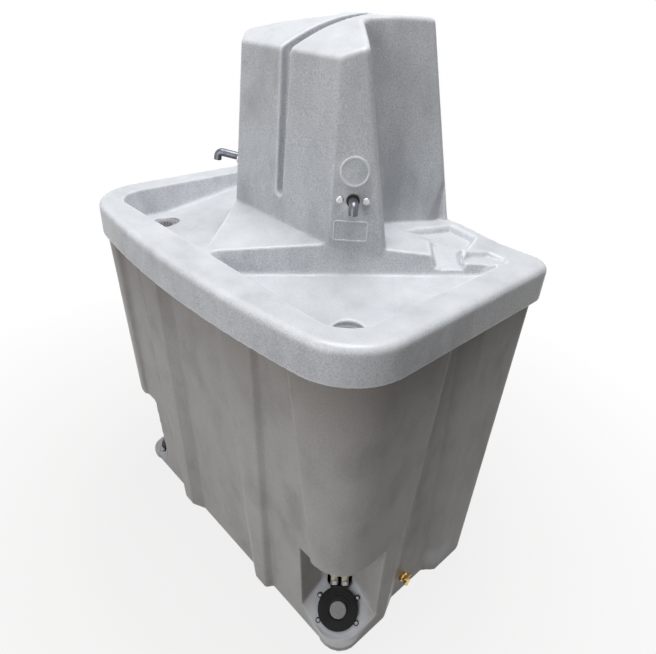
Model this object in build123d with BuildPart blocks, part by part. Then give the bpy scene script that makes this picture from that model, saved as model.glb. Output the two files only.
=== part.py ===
from build123d import *
import os
from math import atan2, cos, degrees, hypot, pi, radians, sin, sqrt, tan

os.makedirs("parts", exist_ok=True)

# Freestanding hand wash station for two users, in millimetres.
# X runs along the length, the users stand at the two front corners (-Y), Z is up.
# The origin is on the floor under the middle of the outline. The two sides are alike, but for the drain cock.

# Rim of the sink top
RIM_LENGTH = 962.0
RIM_REAR_Y = 322.0
RIM_FRONT_Y = -322.0
RIM_BOW = 23.5
RIM_FRONT_CORNER_R = 139.0
RIM_REAR_CORNER_R = 50.0
RIM_TOP_Z = 900.0
RIM_FACE_HEIGHT = 80.0
RIM_EDGE_R = 16.0
TOP_WALL = 6.0

# Deck behind the basins: a shelf that rises to the tower, and a slope on each side of it
SHELF_FRONT_Y = -225.0
SHELF_REAR_Y = -45.0
SHELF_RISE = 22.7
SHELF_HALF_WIDTH = 171.0
DECK_RISE = 16.0
DECK_INNER_X = 100.0
DECK_BREAK_X = 245.0
DECK_OUTER_X = 405.0
DECK_REAR_Y = 300.0
DECK_FRONT_Y = -60.0

# Basins, triangular with one large corner
BASIN_FRONT_Y = -240.0
BASIN_SIDE_X = 413.0
BASIN_WALL_POINT = (13.6, -222.2)
BASIN_WALL_ANGLE = 48.4
BASIN_DRAFT = 16.0
BASIN_CORNER_R = 70.0
BASIN_TIP_R = 14.0
BASIN_FLOOR_R = 10.0
FLOOR_DEPTH_AT_SUMP = 66.0
FLOOR_FALL = 0.156
FLOOR_SIDE_FALL = 0.032
FLOOR_RETURN = 0.03
SUMP_X = 334.0
SUMP_Y = -148.0
SUMP_R = 34.0
SUMP_Z = 825.0
DRAIN_HOLE_R = 19.5

# Soap dish, its drain channel and the low step beside it
DISH_OUTLINE = [(196.0, 150.0), (282.0, 158.0), (322.0, 205.0), (300.0, 268.0), (242.0, 266.0)]
DISH_CORNER_R = 12.0
DISH_FLOOR_Z = 897.0
CHANNEL_WIDTH = 54.0
CHANNEL_X = 322.0
CHANNEL_Y = 160.0
CHANNEL_HALF_LENGTH = 52.0
CHANNEL_FLOOR_Z = 888.0
CHANNEL_FALL_ANGLE = 14.0
STEP_OUTLINE = [(352.0, 178.0), (398.0, 205.0), (399.0, 240.0), (366.0, 232.0)]
STEP_CORNER_R = 8.0
STEP_FLOOR_Z = 896.0

# Tower: half outline at one level, and how far each side leans in
TOWER_HALF = [(160.0, -50.0), (247.0, 40.0), (137.0, 142.0), (222.0, 304.0)]
TOWER_LEVEL = 915.0
TOWER_FOOT_Z = 900.0
TOWER_CREASE_R = 22.0
TOWER_NOSE_R = 16.0
TOWER_RECESS_R = 30.0
TOWER_REAR_R = 16.0
NOSE_DRAFT = 3.5
RETURN_DRAFT = 10.0
FLANK_DRAFT = 11.0
REAR_DRAFT = 2.8
FRONT_DRAFT = 2.8
TOWER_CROWN_Y = 225.0
TOWER_CROWN_Z = 1329.0
TOWER_CROWN_R = 560.0
TOWER_EDGE_R = 10.0

# Groove down the middle of the tower
GROOVE_FOOT_Z = 980.0
GROOVE_FOOT_WIDTH = 20.0
GROOVE_TOP_WIDTH = 30.0
GROOVE_DEPTH = 22.0
GROOVE_REAR_Y = 204.0

# Places on the face of each tower nose, measured along it and up it from the spout
RING_UP = 56.0
RING_R = 29.0
RING_WIDTH = 3.5
RING_HEIGHT = 1.4
PANEL_DOWN = 62.0
PANEL_WIDTH = 68.0
PANEL_HEIGHT = 40.0
PANEL_DEPTH = 1.2

# Tub outline, each size given at the foot and just under the rim
TUB_TOP_Z = 820.0
TUB_WALL = 6.0
PANEL_Y = (-222.0, -280.0)
COLUMN_Y = (-242.0, -294.0)
BARREL_Y = (-226.0, -290.0)
COLUMN_INNER_X = (122.0, 87.6)
COLUMN_RIDGE_X = (161.0, 128.0)
COLUMN_FLAT_X = (203.0, 224.0)
COLUMN_OUTER_X = (214.0, 235.0)
BARREL_START_X = (403.0, 328.0)
BARREL_SIDE_X = (467.0, 466.0)
BARREL_CORNER_R = (55.0, 130.0)
BARREL_END_Y = (-65.0, 0.0)
SIDE_PANEL_START_Y = (-10.0, 20.0)
SIDE_PANEL_X = (443.0, 452.0)
SIDE_PANEL_END_Y = (117.0, 44.0)
SIDE_COLUMN_START_Y = (147.0, 105.0)
SIDE_COLUMN_X = (466.0, 466.0)
REAR_Y = (288.0, 314.0)
REAR_CORNER_R = 45.0
REAR_PANEL_X = 200.0
REAR_PANEL_FLANK = 30.0
REAR_PANEL_DEPTH = 16.0
BARREL_STEP = 8.0
RIB_ROOT_R = 4.0
RIB_EDGE_R = 8.0
NECK_OUTER_X = 452.0
NECK_FRONT_Y = -280.0
NECK_FRONT_R = 118.0
NECK_REAR_R = 40.0
NECK_FOOT_Z = 812.0
NECK_CLEARANCE = 0.6
NECK_WALL = 12.0
NECK_CHAMFER = 7.7
SEAT_GAP = 0.3
PASSAGE_FOOT_Z = 780.0

# Pump recess in each front corner
RECESS_LEFT_X = 330.0
RECESS_REAR_Y = -104.0
RECESS_BACK = [(388.0, -104.0), (330.0, -161.0)]
RECESS_CORNER_R = 14.0
RECESS_TOP_Z = 300.0
RECESS_LEDGE_Z = 18.0
PUMP_FLOOR = (396.0, -165.0, 62.0)
PUMP_TILT = 50.0
PUMP_AZIMUTH = -45.6
HOSE_SLOT_WIDTH = 60.0
HOSE_SLOT_HEIGHT = 52.0

# Foot pump, measured from the sloping floor of the recess
PUMP_R = 50.0
PUMP_FLANGE = 8.0
PUMP_BOWL_R = 37.5
PUMP_BOWL_WALL = 3.0
PUMP_BOWL_DEPTH = 30.0
PUMP_BOWL_GAP = 1.0
PUMP_SEAT_R = 40.0
PUMP_SEAT_Z = 3.0
PUMP_EAR_R = 6.5
PUMP_EAR_THICK = 3.0
PUMP_SCREW_R = 2.1
PUMP_SCREW_HEAD_R = 4.4
PUMP_SCREW_HEAD = 3.0
PUMP_SCREW_LENGTH = 14.0
PUMP_SCREW_PCR = 54.5
PUMP_SCREW_ANGLE = 31.0
COVER_INNER_R = 24.0
COVER_STEPS = [(46.0, 3.0), (39.0, 2.0), (32.0, 1.5)]
BUTTON_R = 20.0
BUTTON_FOOT = 4.0
BUTTON_TOP = 21.0
BUTTON_EDGE_R = 2.5
BUTTON_STEM_R = 6.0
BUTTON_STEM_FOOT = -9.0
DIAPHRAGM_GAP = 0.6
SPRING_R = 10.0
SPRING_WIRE_R = 1.1
SPRING_PITCH = 6.0
PORT_SPREAD = 13.0
PORT_Z = 11.5
PORT_BLOCK_Y = 54.0
PORT_END_Y = 65.0

# Hoses and the spigots that they are pushed on
HOSE_R = 9.0
HOSE_BORE_R = 6.5
SPIGOT_R = 6.2
SPIGOT_BORE_R = 4.2
STUB_START_Y = 55.0
STUB_LENGTH = 18.0
CONNECTOR_HEX_R = 10.5
CONNECTOR_HEX_LENGTH = 11.0
CONNECTOR_BARB_LENGTH = 16.0
CLAMP_WIDTH = 8.0
CLAMP_THICK = 1.0
CLAMP_GAP = 0.2

# Spout on each tower nose
SPOUT_ALONG = 48.0
SPOUT_Z = 1014.5
SPOUT_R = 9.0
SPOUT_BORE_R = 7.2
SPOUT_INSIDE = 52.0
SPOUT_STRAIGHT_OUT = 6.0
SPOUT_REACH = 54.0
SPOUT_RISE = 9.0
SPOUT_TIP_DROP = 19.0
SPOUT_BEND_R = 11.0
SPOUT_HOLE_GAP = 1.5
SPOUT_BARB_LENGTH = 20.0
BRACKET_LENGTH = 74.0
BRACKET_WIDTH = 34.0
BRACKET_THICK = 3.0
BRACKET_COLLAR_R = 13.0
BRACKET_COLLAR_LENGTH = 12.0
SPOUT_FIT = 0.15
SPOUT_SCREW_SPREAD = 26.0
SPOUT_SCREW_R = 3.0
SPOUT_SCREW_HEAD_R = 7.5
SPOUT_SCREW_HEAD = 4.0
SPOUT_NUT_R = 6.0
SPOUT_NUT = 5.0
THREAD_GAP = 0.15

# Basin drain
STRAINER_R = 31.0
STRAINER_THICK = 3.0
STRAINER_HOLE_R = 2.6
DRAIN_BODY_R = 19.0
DRAIN_BODY_BORE_R = 16.0
DRAIN_BODY_LENGTH = 38.0
DRAIN_BARB_R = 15.0
DRAIN_BARB_BORE_R = 12.5
DRAIN_BARB_LENGTH = 30.0
DRAIN_NUT_R = 28.0
DRAIN_NUT_HEIGHT = 11.0
DRAIN_HOSE_R = 19.0
DRAIN_HOSE_BORE_R = 15.4

# Waste water tank on the tub floor, fresh water tank standing on it
GREY_HALF_X = 270.0
GREY_FRONT_Y = -150.0
GREY_REAR_Y = 240.0
GREY_TOP_Z = 344.7
FRESH_HALF_X = 420.0
FRESH_FRONT_Y = -60.0
FRESH_REAR_Y = 250.0
FRESH_FOOT_Z = 345.0
FRESH_TOP_Z = 780.0
TANK_WALL = 5.0
TANK_EDGE_R = 24.0
INLET_X = 230.0
INLET_Y = -100.0
INLET_HEIGHT = 32.0
OUTLET_X = 335.0
OUTLET_Y = -20.0
OUTLET_LENGTH = 24.0

# Fill neck and cap in the rear wall
FILL_Z = 690.0
NECK_R = 36.0
NECK_BORE_R = 31.0
NECK_FLANGE_R = 46.0
NECK_FLANGE_THICK = 4.0
NECK_THREAD_R = 38.0
NECK_THREAD_LENGTH = 10.0
NECK_GAP = 0.5
FILL_NUT_R = 47.0
FILL_NUT_THICK = 7.0
CAP_R = 45.0
CAP_TOP = 4.0
CAP_GAP = 0.4
CAP_GRIPS = 24

# Drain cock in the right wall
COCK_Y = 22.0
COCK_Z = 68.0
COCK_SHANK_R = 9.5
COCK_SHANK_LENGTH = 20.0
COCK_HEX_R = 14.0
COCK_HEX_THICK = 5.0
COCK_BODY_R = 8.0
COCK_BODY_LENGTH = 17.0
COCK_BORE_R = 5.5
COCK_OUTLET_R = 6.5
COCK_OUTLET_DROP = 15.0
COCK_STEM_R = 3.5
COCK_STEM_TOP = 16.5
KEY_LENGTH = 27.0
KEY_WIDTH = 8.0
KEY_THICK = 4.0
KEY_GAP = 0.1
PIPE_R = 12.0

# Screws that hold the sink top to the tub
RIM_SCREW_XS = [-380.0, -290.0, 290.0, 380.0]
RIM_SCREW_Z = 862.0
RIM_SCREW_R = 2.5
RIM_SCREW_HEAD_R = 5.0
RIM_SCREW_LENGTH = 16.0
RIM_SCREW_SUNK = 0.5

MIDDLE = Plane.YZ


def outward(start, end):
    """Outward normal of one side of an outline that runs anticlockwise."""
    length = hypot(end[0] - start[0], end[1] - start[1])
    return (end[1] - start[1]) / length, (start[0] - end[0]) / length


def shifted(points, shifts):
    """Corners of a closed outline after each side has moved outward by its own amount."""
    moved = []
    for i, here in enumerate(points):
        ax, ay = outward(points[i - 1], here)
        bx, by = outward(here, points[(i + 1) % len(points)])
        a = ax * here[0] + ay * here[1] + shifts[i - 1]
        b = bx * here[0] + by * here[1] + shifts[i]
        cross = ax * by - ay * bx
        moved.append(((a * by - b * ay) / cross, (ax * b - bx * a) / cross))
    return moved


def both_sides(half):
    """Closed outline from the half at +X, listed from front to rear."""
    return half + [(-x, y) for x, y in reversed(half)]


def rounded(points, radii, height):
    """Face at one height inside an outline with a round corner at each point."""
    with BuildSketch(Plane.XY.offset(height)) as sketch:
        with BuildLine():
            FilletPolyline(*points, radius=radii, close=True)
        make_face()
    return sketch.sketch


def at_height(pair, z):
    """Size at height z, from its sizes at the foot and at the top of the tub."""
    return pair[0] + (pair[1] - pair[0]) * z / TUB_TOP_Z


def rim_face(inset, height):
    """Rim outline with its bowed front, drawn in by an inset."""
    side = RIM_LENGTH / 2 - inset
    corner_x = RIM_LENGTH / 2 - RIM_FRONT_CORNER_R
    bow_r = (corner_x**2 + RIM_BOW**2) / (2 * RIM_BOW)
    bow_y = RIM_FRONT_Y + bow_r
    corner_y = bow_y - sqrt((bow_r - RIM_FRONT_CORNER_R) ** 2 - corner_x**2)
    corner_r = RIM_FRONT_CORNER_R - inset
    turn = degrees(atan2(corner_x, bow_y - corner_y))
    bow_side_x = (bow_r - inset) * sin(radians(turn))
    bow_side_y = bow_y - (bow_r - inset) * cos(radians(turn))
    rear_x = RIM_LENGTH / 2 - RIM_REAR_CORNER_R
    rear_y = RIM_REAR_Y - RIM_REAR_CORNER_R
    rear_r = RIM_REAR_CORNER_R - inset
    with BuildSketch(Plane.XY.offset(height)) as sketch:
        with BuildLine():
            ThreePointArc((-bow_side_x, bow_side_y), (0, RIM_FRONT_Y + inset), (bow_side_x, bow_side_y))
            CenterArc((corner_x, corner_y), corner_r, turn - 90, 90 - turn)
            Line((side, corner_y), (side, rear_y))
            CenterArc((rear_x, rear_y), rear_r, 0, 90)
            Line((rear_x, rear_y + rear_r), (-rear_x, rear_y + rear_r))
            CenterArc((-rear_x, rear_y), rear_r, 90, 90)
            Line((-side, rear_y), (-side, corner_y))
            CenterArc((-corner_x, corner_y), corner_r, 180, 90 - turn)
        make_face()
    return sketch.sketch


def basin_outline(height, grow):
    """Corners of the right basin at one height, its walls leaning out by their draft."""
    slope = tan(radians(BASIN_WALL_ANGLE))
    wall_x, wall_y = BASIN_WALL_POINT
    tip = (wall_x + (BASIN_FRONT_Y - wall_y) / slope, BASIN_FRONT_Y)
    end = (BASIN_SIDE_X, wall_y + (BASIN_SIDE_X - wall_x) * slope)
    corners = [tip, (BASIN_SIDE_X, BASIN_FRONT_Y), end]
    lean = (height - RIM_TOP_Z) * tan(radians(BASIN_DRAFT))
    return shifted(corners, [lean + grow] * 3)


def basin_cutter(grow):
    """Hollow of the right basin, with its sump, grown by a wall thickness."""
    bottom = RIM_TOP_Z - RIM_FACE_HEIGHT - 10
    top = RIM_TOP_Z + 60
    radii = [BASIN_TIP_R, BASIN_CORNER_R, BASIN_TIP_R]
    levels = [rounded(basin_outline(z, grow), radii, z) for z in (bottom, top)]
    along = Vector(cos(radians(BASIN_WALL_ANGLE)), sin(radians(BASIN_WALL_ANGLE)), 0)
    across = Vector(along.Y, -along.X, 0)
    sump = Vector(SUMP_X, SUMP_Y, RIM_TOP_Z - FLOOR_DEPTH_AT_SUMP)
    main_floor = (Vector(0, 0, 1) + across * FLOOR_FALL - along * FLOOR_SIDE_FALL).normalized()
    front_floor = (Vector(0, 0, 1) - across * FLOOR_RETURN + along * FLOOR_RETURN).normalized()
    with BuildPart() as cutter:
        loft(levels, ruled=True)
        for normal in (main_floor, front_floor):
            split(bisect_by=Plane(origin=sump - normal * grow, z_dir=normal), keep=Keep.TOP)
        floors = cutter.faces().filter_by(lambda face: face.normal_at().Z < -0.9)
        inner = [edge for edge in floors[0].edges() if edge in floors[1].edges()]
        fillet([edge for edge in floors.edges() if edge not in inner], BASIN_FLOOR_R)
        with BuildSketch(Plane.XY.offset(SUMP_Z - grow)):
            with Locations((SUMP_X, SUMP_Y)):
                Circle(SUMP_R + grow)
        extrude(amount=25)
    return cutter.part


def dish_cutter(grow):
    """Soap dish of the right side with its drain channel and the step beside it."""
    with BuildPart() as cutter:
        outline = shifted(DISH_OUTLINE, [grow] * len(DISH_OUTLINE))
        extrude(rounded(outline, [DISH_CORNER_R] * len(outline), DISH_FLOOR_Z - grow), amount=40)
        step = shifted(STEP_OUTLINE, [grow] * len(STEP_OUTLINE))
        extrude(rounded(step, [STEP_CORNER_R] * len(step), STEP_FLOOR_Z - grow), amount=40)
        across = Plane(
            origin=(CHANNEL_X, CHANNEL_Y, CHANNEL_FLOOR_Z),
            x_dir=(cos(radians(BASIN_WALL_ANGLE)), sin(radians(BASIN_WALL_ANGLE)), 0),
            z_dir=(0, 0, 1),
        ).rotated((CHANNEL_FALL_ANGLE, 0, 0))
        with BuildSketch(across.offset(-grow)):
            RectangleRounded(CHANNEL_WIDTH + 2 * grow, 2 * (CHANNEL_HALF_LENGTH + grow), STEP_CORNER_R)
        extrude(amount=40)
    return cutter.part


def tower_outline(height, inset):
    """Corners of the tower at one height, each side leaning in by its own draft."""
    rise = height - TOWER_LEVEL
    half = [NOSE_DRAFT, RETURN_DRAFT, FLANK_DRAFT]
    leans = half + [REAR_DRAFT] + half[::-1] + [FRONT_DRAFT]
    return shifted(both_sides(TOWER_HALF), [-inset - rise * tan(radians(lean)) for lean in leans])


def tower(inset):
    """Tower as one closed solid, its skin drawn in by an inset."""
    half = [TOWER_CREASE_R - inset, TOWER_NOSE_R - inset, TOWER_RECESS_R + inset, TOWER_REAR_R - inset]
    radii = half + half[::-1]
    foot = TOWER_FOOT_Z - 8 * inset
    top = TOWER_CROWN_Z + 16
    crown_r = TOWER_CROWN_R - inset
    crown_y = TOWER_CROWN_Y
    crown_z = TOWER_CROWN_Z - TOWER_CROWN_R
    front_y = SHELF_REAR_Y - 40
    rear_y = RIM_REAR_Y + 20
    front_z = crown_z + sqrt(crown_r**2 - (front_y - crown_y) ** 2)
    rear_z = crown_z + sqrt(crown_r**2 - (rear_y - crown_y) ** 2)
    with BuildPart() as solid:
        loft([rounded(tower_outline(z, inset), radii, z) for z in (foot, top)], ruled=True)
        with BuildSketch(Plane.YZ):
            with BuildLine():
                ThreePointArc((rear_y, rear_z), (crown_y, crown_z + crown_r), (front_y, front_z))
                Polyline((front_y, front_z), (front_y, foot), (rear_y, foot), (rear_y, rear_z))
            make_face()
        extrude(amount=RIM_LENGTH / 2, both=True, mode=Mode.INTERSECT)
        fillet(solid.faces().sort_by(Axis.Z)[-1].edges(), TOWER_EDGE_R - inset)
    return solid.part


def groove_cutter(grow):
    """Groove up the front of the tower and back over its top."""
    lean = tan(radians(FRONT_DRAFT))
    front_y = TOWER_HALF[0][1]
    top = TOWER_CROWN_Z + 30
    back = GROOVE_DEPTH + grow
    crown_z = TOWER_CROWN_Z - TOWER_CROWN_R
    crown_r = TOWER_CROWN_R - back
    foot_level = GROOVE_FOOT_Z - 60
    foot_y = front_y + (foot_level - TOWER_LEVEL) * lean + back
    corner_y = front_y + (TOWER_CROWN_Z - 80 - TOWER_LEVEL) * lean + back
    corner_z = crown_z + sqrt(crown_r**2 - (corner_y - TOWER_CROWN_Y) ** 2)
    rear_y = GROOVE_REAR_Y + grow
    rear_z = crown_z + sqrt(crown_r**2 - (rear_y - TOWER_CROWN_Y) ** 2)
    middle_y = (corner_y + rear_y) / 2
    middle_z = crown_z + sqrt(crown_r**2 - (middle_y - TOWER_CROWN_Y) ** 2)
    with BuildPart() as cutter:
        with BuildSketch(Plane.XZ):
            with BuildLine():
                foot_half = GROOVE_FOOT_WIDTH / 2 + grow
                top_half = GROOVE_TOP_WIDTH / 2 + grow
                foot_z = GROOVE_FOOT_Z + GROOVE_FOOT_WIDTH / 2
                ThreePointArc((-foot_half, foot_z), (0, foot_z - foot_half), (foot_half, foot_z))
                Polyline((foot_half, foot_z), (top_half, top), (-top_half, top), (-foot_half, foot_z))
            make_face()
        extrude(amount=RIM_LENGTH, both=True)
        with BuildSketch(Plane.YZ):
            with BuildLine():
                Polyline(
                    (front_y - 60, top),
                    (front_y - 60, foot_level),
                    (foot_y, foot_level),
                    (corner_y, corner_z),
                )
                ThreePointArc((corner_y, corner_z), (middle_y, middle_z), (rear_y, rear_z))
                Polyline((rear_y, rear_z), (rear_y, top), (front_y - 60, top))
            make_face()
        extrude(amount=RIM_LENGTH, both=True, mode=Mode.INTERSECT)
    return cutter.part


def top_solid(inset):
    """Sink top as one closed solid with its skin drawn in by an inset, basins and groove cut away."""
    foot = RIM_TOP_Z - RIM_FACE_HEIGHT - inset
    with BuildPart() as solid:
        extrude(rim_face(inset, foot), amount=RIM_FACE_HEIGHT)
        fillet(solid.faces().sort_by(Axis.Z)[-1].edges(), RIM_EDGE_R - inset)
        shelf_top = RIM_TOP_Z - inset
        with BuildSketch(Plane.YZ):
            with BuildLine():
                Polyline(
                    (SHELF_FRONT_Y, shelf_top),
                    (SHELF_REAR_Y, shelf_top + SHELF_RISE),
                    (SHELF_REAR_Y, shelf_top - 10),
                    (SHELF_FRONT_Y, shelf_top - 10),
                    close=True,
                )
            make_face()
        extrude(amount=SHELF_HALF_WIDTH - inset, both=True)
        with BuildSketch(Plane.XZ.offset(-DECK_REAR_Y + inset)):
            with BuildLine():
                Polyline(
                    (DECK_INNER_X, shelf_top - 10),
                    (DECK_OUTER_X, shelf_top - 10),
                    (DECK_OUTER_X, shelf_top),
                    (DECK_BREAK_X, shelf_top + DECK_RISE),
                    (DECK_INNER_X, shelf_top + DECK_RISE),
                    close=True,
                )
            make_face()
            mirror(about=Plane.YZ)
        extrude(amount=DECK_REAR_Y - DECK_FRONT_Y)
        basin = basin_cutter(inset)
        dish = dish_cutter(inset)
        add(basin, mode=Mode.SUBTRACT)
        add(dish, mode=Mode.SUBTRACT)
        add(mirror(basin, about=MIDDLE, mode=Mode.PRIVATE), mode=Mode.SUBTRACT)
        add(mirror(dish, about=MIDDLE, mode=Mode.PRIVATE), mode=Mode.SUBTRACT)
        add(tower(inset))
        add(groove_cutter(inset), mode=Mode.SUBTRACT)
    return solid.part


def nose_plane():
    """Plane on the right nose of the tower, at the spout, with x along the face and y up it."""
    ax, ay = TOWER_HALF[0]
    bx, by = TOWER_HALF[1]
    length = hypot(bx - ax, by - ay)
    along = Vector((bx - ax) / length, (by - ay) / length, 0)
    level = Vector(along.Y, -along.X, 0)
    lean = tan(radians(NOSE_DRAFT)) * (SPOUT_Z - TOWER_LEVEL)
    origin = Vector(ax, ay, SPOUT_Z) + along * SPOUT_ALONG - level * lean
    normal = level * cos(radians(NOSE_DRAFT)) + Vector(0, 0, sin(radians(NOSE_DRAFT)))
    return Plane(origin=origin, x_dir=along, z_dir=normal)


NOSE = nose_plane()


def pump_plane():
    """Plane on the sloping floor under the right pump, with y up the slope."""
    azimuth = radians(PUMP_AZIMUTH)
    tilt = radians(PUMP_TILT)
    normal = Vector(cos(azimuth) * cos(tilt), sin(azimuth) * cos(tilt), sin(tilt))
    across = Vector(-sin(azimuth), cos(azimuth), 0)
    return Plane(origin=PUMP_FLOOR, x_dir=across, z_dir=normal)


PUMP = pump_plane()


def tub_face(z, inset):
    """Tub outline at height z with its columns, corner barrels and panels, drawn in by an inset."""
    panel = at_height(PANEL_Y, z)
    column = at_height(COLUMN_Y, z)
    rear = at_height(REAR_Y, z)
    half = [
        (at_height(COLUMN_INNER_X, z), panel),
        (at_height(COLUMN_RIDGE_X, z), column),
        (at_height(COLUMN_FLAT_X, z), column),
        (at_height(COLUMN_OUTER_X, z), panel),
        (at_height(BARREL_START_X, z) - BARREL_STEP, panel),
        (at_height(BARREL_START_X, z), at_height(BARREL_Y, z)),
        (at_height(BARREL_SIDE_X, z), at_height(BARREL_Y, z)),
        (at_height(BARREL_SIDE_X, z), at_height(BARREL_END_Y, z)),
        (at_height(SIDE_PANEL_X, z), at_height(SIDE_PANEL_START_Y, z)),
        (at_height(SIDE_PANEL_X, z), at_height(SIDE_PANEL_END_Y, z)),
        (at_height(SIDE_COLUMN_X, z), at_height(SIDE_COLUMN_START_Y, z)),
        (at_height(SIDE_COLUMN_X, z), rear),
        (REAR_PANEL_X, rear),
        (REAR_PANEL_X - REAR_PANEL_FLANK, rear - REAR_PANEL_DEPTH),
    ]
    barrel = at_height(BARREL_CORNER_R, z)
    swell = inset
    radii = [
        RIB_ROOT_R + swell,
        RIB_EDGE_R + 4 - swell,
        RIB_EDGE_R - swell,
        RIB_ROOT_R + swell,
        RIB_ROOT_R + swell,
        RIB_EDGE_R - swell,
        barrel - inset,
        RIB_EDGE_R - swell,
        RIB_ROOT_R + swell,
        RIB_ROOT_R + swell,
        RIB_EDGE_R - swell,
        REAR_CORNER_R - inset,
        RIB_EDGE_R - swell,
        RIB_ROOT_R + swell,
    ]
    points = both_sides(half)
    return rounded(shifted(points, [-inset] * len(points)), radii + radii[::-1], z)


def neck_face(inset, height):
    """Outline of the collar that carries the sink top."""
    rear = RIM_REAR_Y - TOP_WALL - NECK_CLEARANCE - inset
    half = [(NECK_OUTER_X - inset, NECK_FRONT_Y + inset), (NECK_OUTER_X - inset, rear)]
    radii = [NECK_FRONT_R - inset, NECK_REAR_R - inset]
    return rounded(both_sides(half), radii + radii[::-1], height)


def recess_cutter(grow):
    """Hollow of the right pump recess above its sloping floor."""
    far = RIM_LENGTH
    outline = [(RECESS_LEFT_X, -far), (far, -far), (far, RECESS_REAR_Y)] + RECESS_BACK
    outline = shifted(outline, [0, 0, grow, grow, grow])
    radii = [1, 1, 1, RECESS_CORNER_R, RECESS_CORNER_R]
    ledge = RECESS_LEDGE_Z - grow
    with BuildPart() as cutter:
        extrude(rounded(outline, radii, ledge), amount=RECESS_TOP_Z + grow - ledge)
        split(bisect_by=PUMP.offset(-grow), keep=Keep.TOP)
    return cutter.part


def slot_plane():
    """Plane in the diagonal wall of the right recess, where the line of the pump's ports crosses it."""
    (ax, ay), (bx, by) = RECESS_BACK
    nx, ny = outward((ax, ay), (bx, by))
    middle = Vector((ax + bx) / 2 + nx * TUB_WALL / 2, (ay + by) / 2 + ny * TUB_WALL / 2, 0)
    port = PUMP.from_local_coords((0, PORT_BLOCK_Y, PORT_Z))
    normal = Vector(-nx, -ny, 0)
    travel = (middle - port).dot(normal) / PUMP.y_dir.dot(normal)
    return Plane(origin=port + PUMP.y_dir * travel, x_dir=(0, 0, 1), z_dir=normal)


def tub_solid(inset):
    """Tub as one closed solid with its skin drawn in by an inset, recesses cut away."""
    top = TUB_TOP_Z - inset
    neck_top = RIM_TOP_Z - TOP_WALL - SEAT_GAP
    with BuildPart() as solid:
        loft([tub_face(inset, inset), tub_face(top, inset)], ruled=True)
        if inset == 0:
            extrude(neck_face(0, NECK_FOOT_Z), amount=neck_top - NECK_FOOT_Z)
            chamfer(solid.faces().sort_by(Axis.Z)[-1].edges().sort_by(Axis.Y)[-3:], NECK_CHAMFER)
        else:
            extrude(neck_face(NECK_WALL, PASSAGE_FOOT_Z), amount=neck_top - PASSAGE_FOOT_Z + inset)
        recess = recess_cutter(inset)
        add(recess, mode=Mode.SUBTRACT)
        add(mirror(recess, about=MIDDLE, mode=Mode.PRIVATE), mode=Mode.SUBTRACT)
    return solid.part


def cock_plane():
    """Plane on the right side panel at the drain cock, facing out."""
    x = at_height(SIDE_PANEL_X, COCK_Z)
    return Plane(origin=(x, COCK_Y, COCK_Z), x_dir=(0, 1, 0), z_dir=(1, 0, 0))


def fill_plane():
    """Plane on the recessed rear panel at the fill neck, facing out."""
    y = at_height(REAR_Y, FILL_Z) - REAR_PANEL_DEPTH
    lean = (REAR_Y[1] - REAR_Y[0]) / TUB_TOP_Z
    return Plane(origin=(0, y, FILL_Z), x_dir=(1, 0, 0), z_dir=Vector(0, 1, -lean).normalized())


COCK = cock_plane()
FILL = fill_plane()
SLOT = slot_plane()
SCREW_ANGLES = [PUMP_SCREW_ANGLE, 180 - PUMP_SCREW_ANGLE, 180 + PUMP_SCREW_ANGLE, -PUMP_SCREW_ANGLE]
SCREW_SPOTS = [(PUMP_SCREW_PCR * cos(radians(a)), PUMP_SCREW_PCR * sin(radians(a))) for a in SCREW_ANGLES]
RIM_SCREW_Y = RIM_REAR_Y - RIM_SCREW_SUNK
RIM_SCREW_PLANE = Plane.XZ.offset(-RIM_SCREW_Y)
RIM_SCREW_SPOTS = [(x, RIM_SCREW_Z) for x in RIM_SCREW_XS]

pieces = {}


def keep(name, part):
    """Labels a finished piece and remembers it under its name."""
    part.label = name
    pieces[name] = part


def keep_pair(name, part):
    """Keeps a piece of the right side and its mirror image on the left."""
    keep("right_" + name, part)
    with BuildPart() as left:
        mirror(part, about=MIDDLE)
    keep("left_" + name, left.part)


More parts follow.
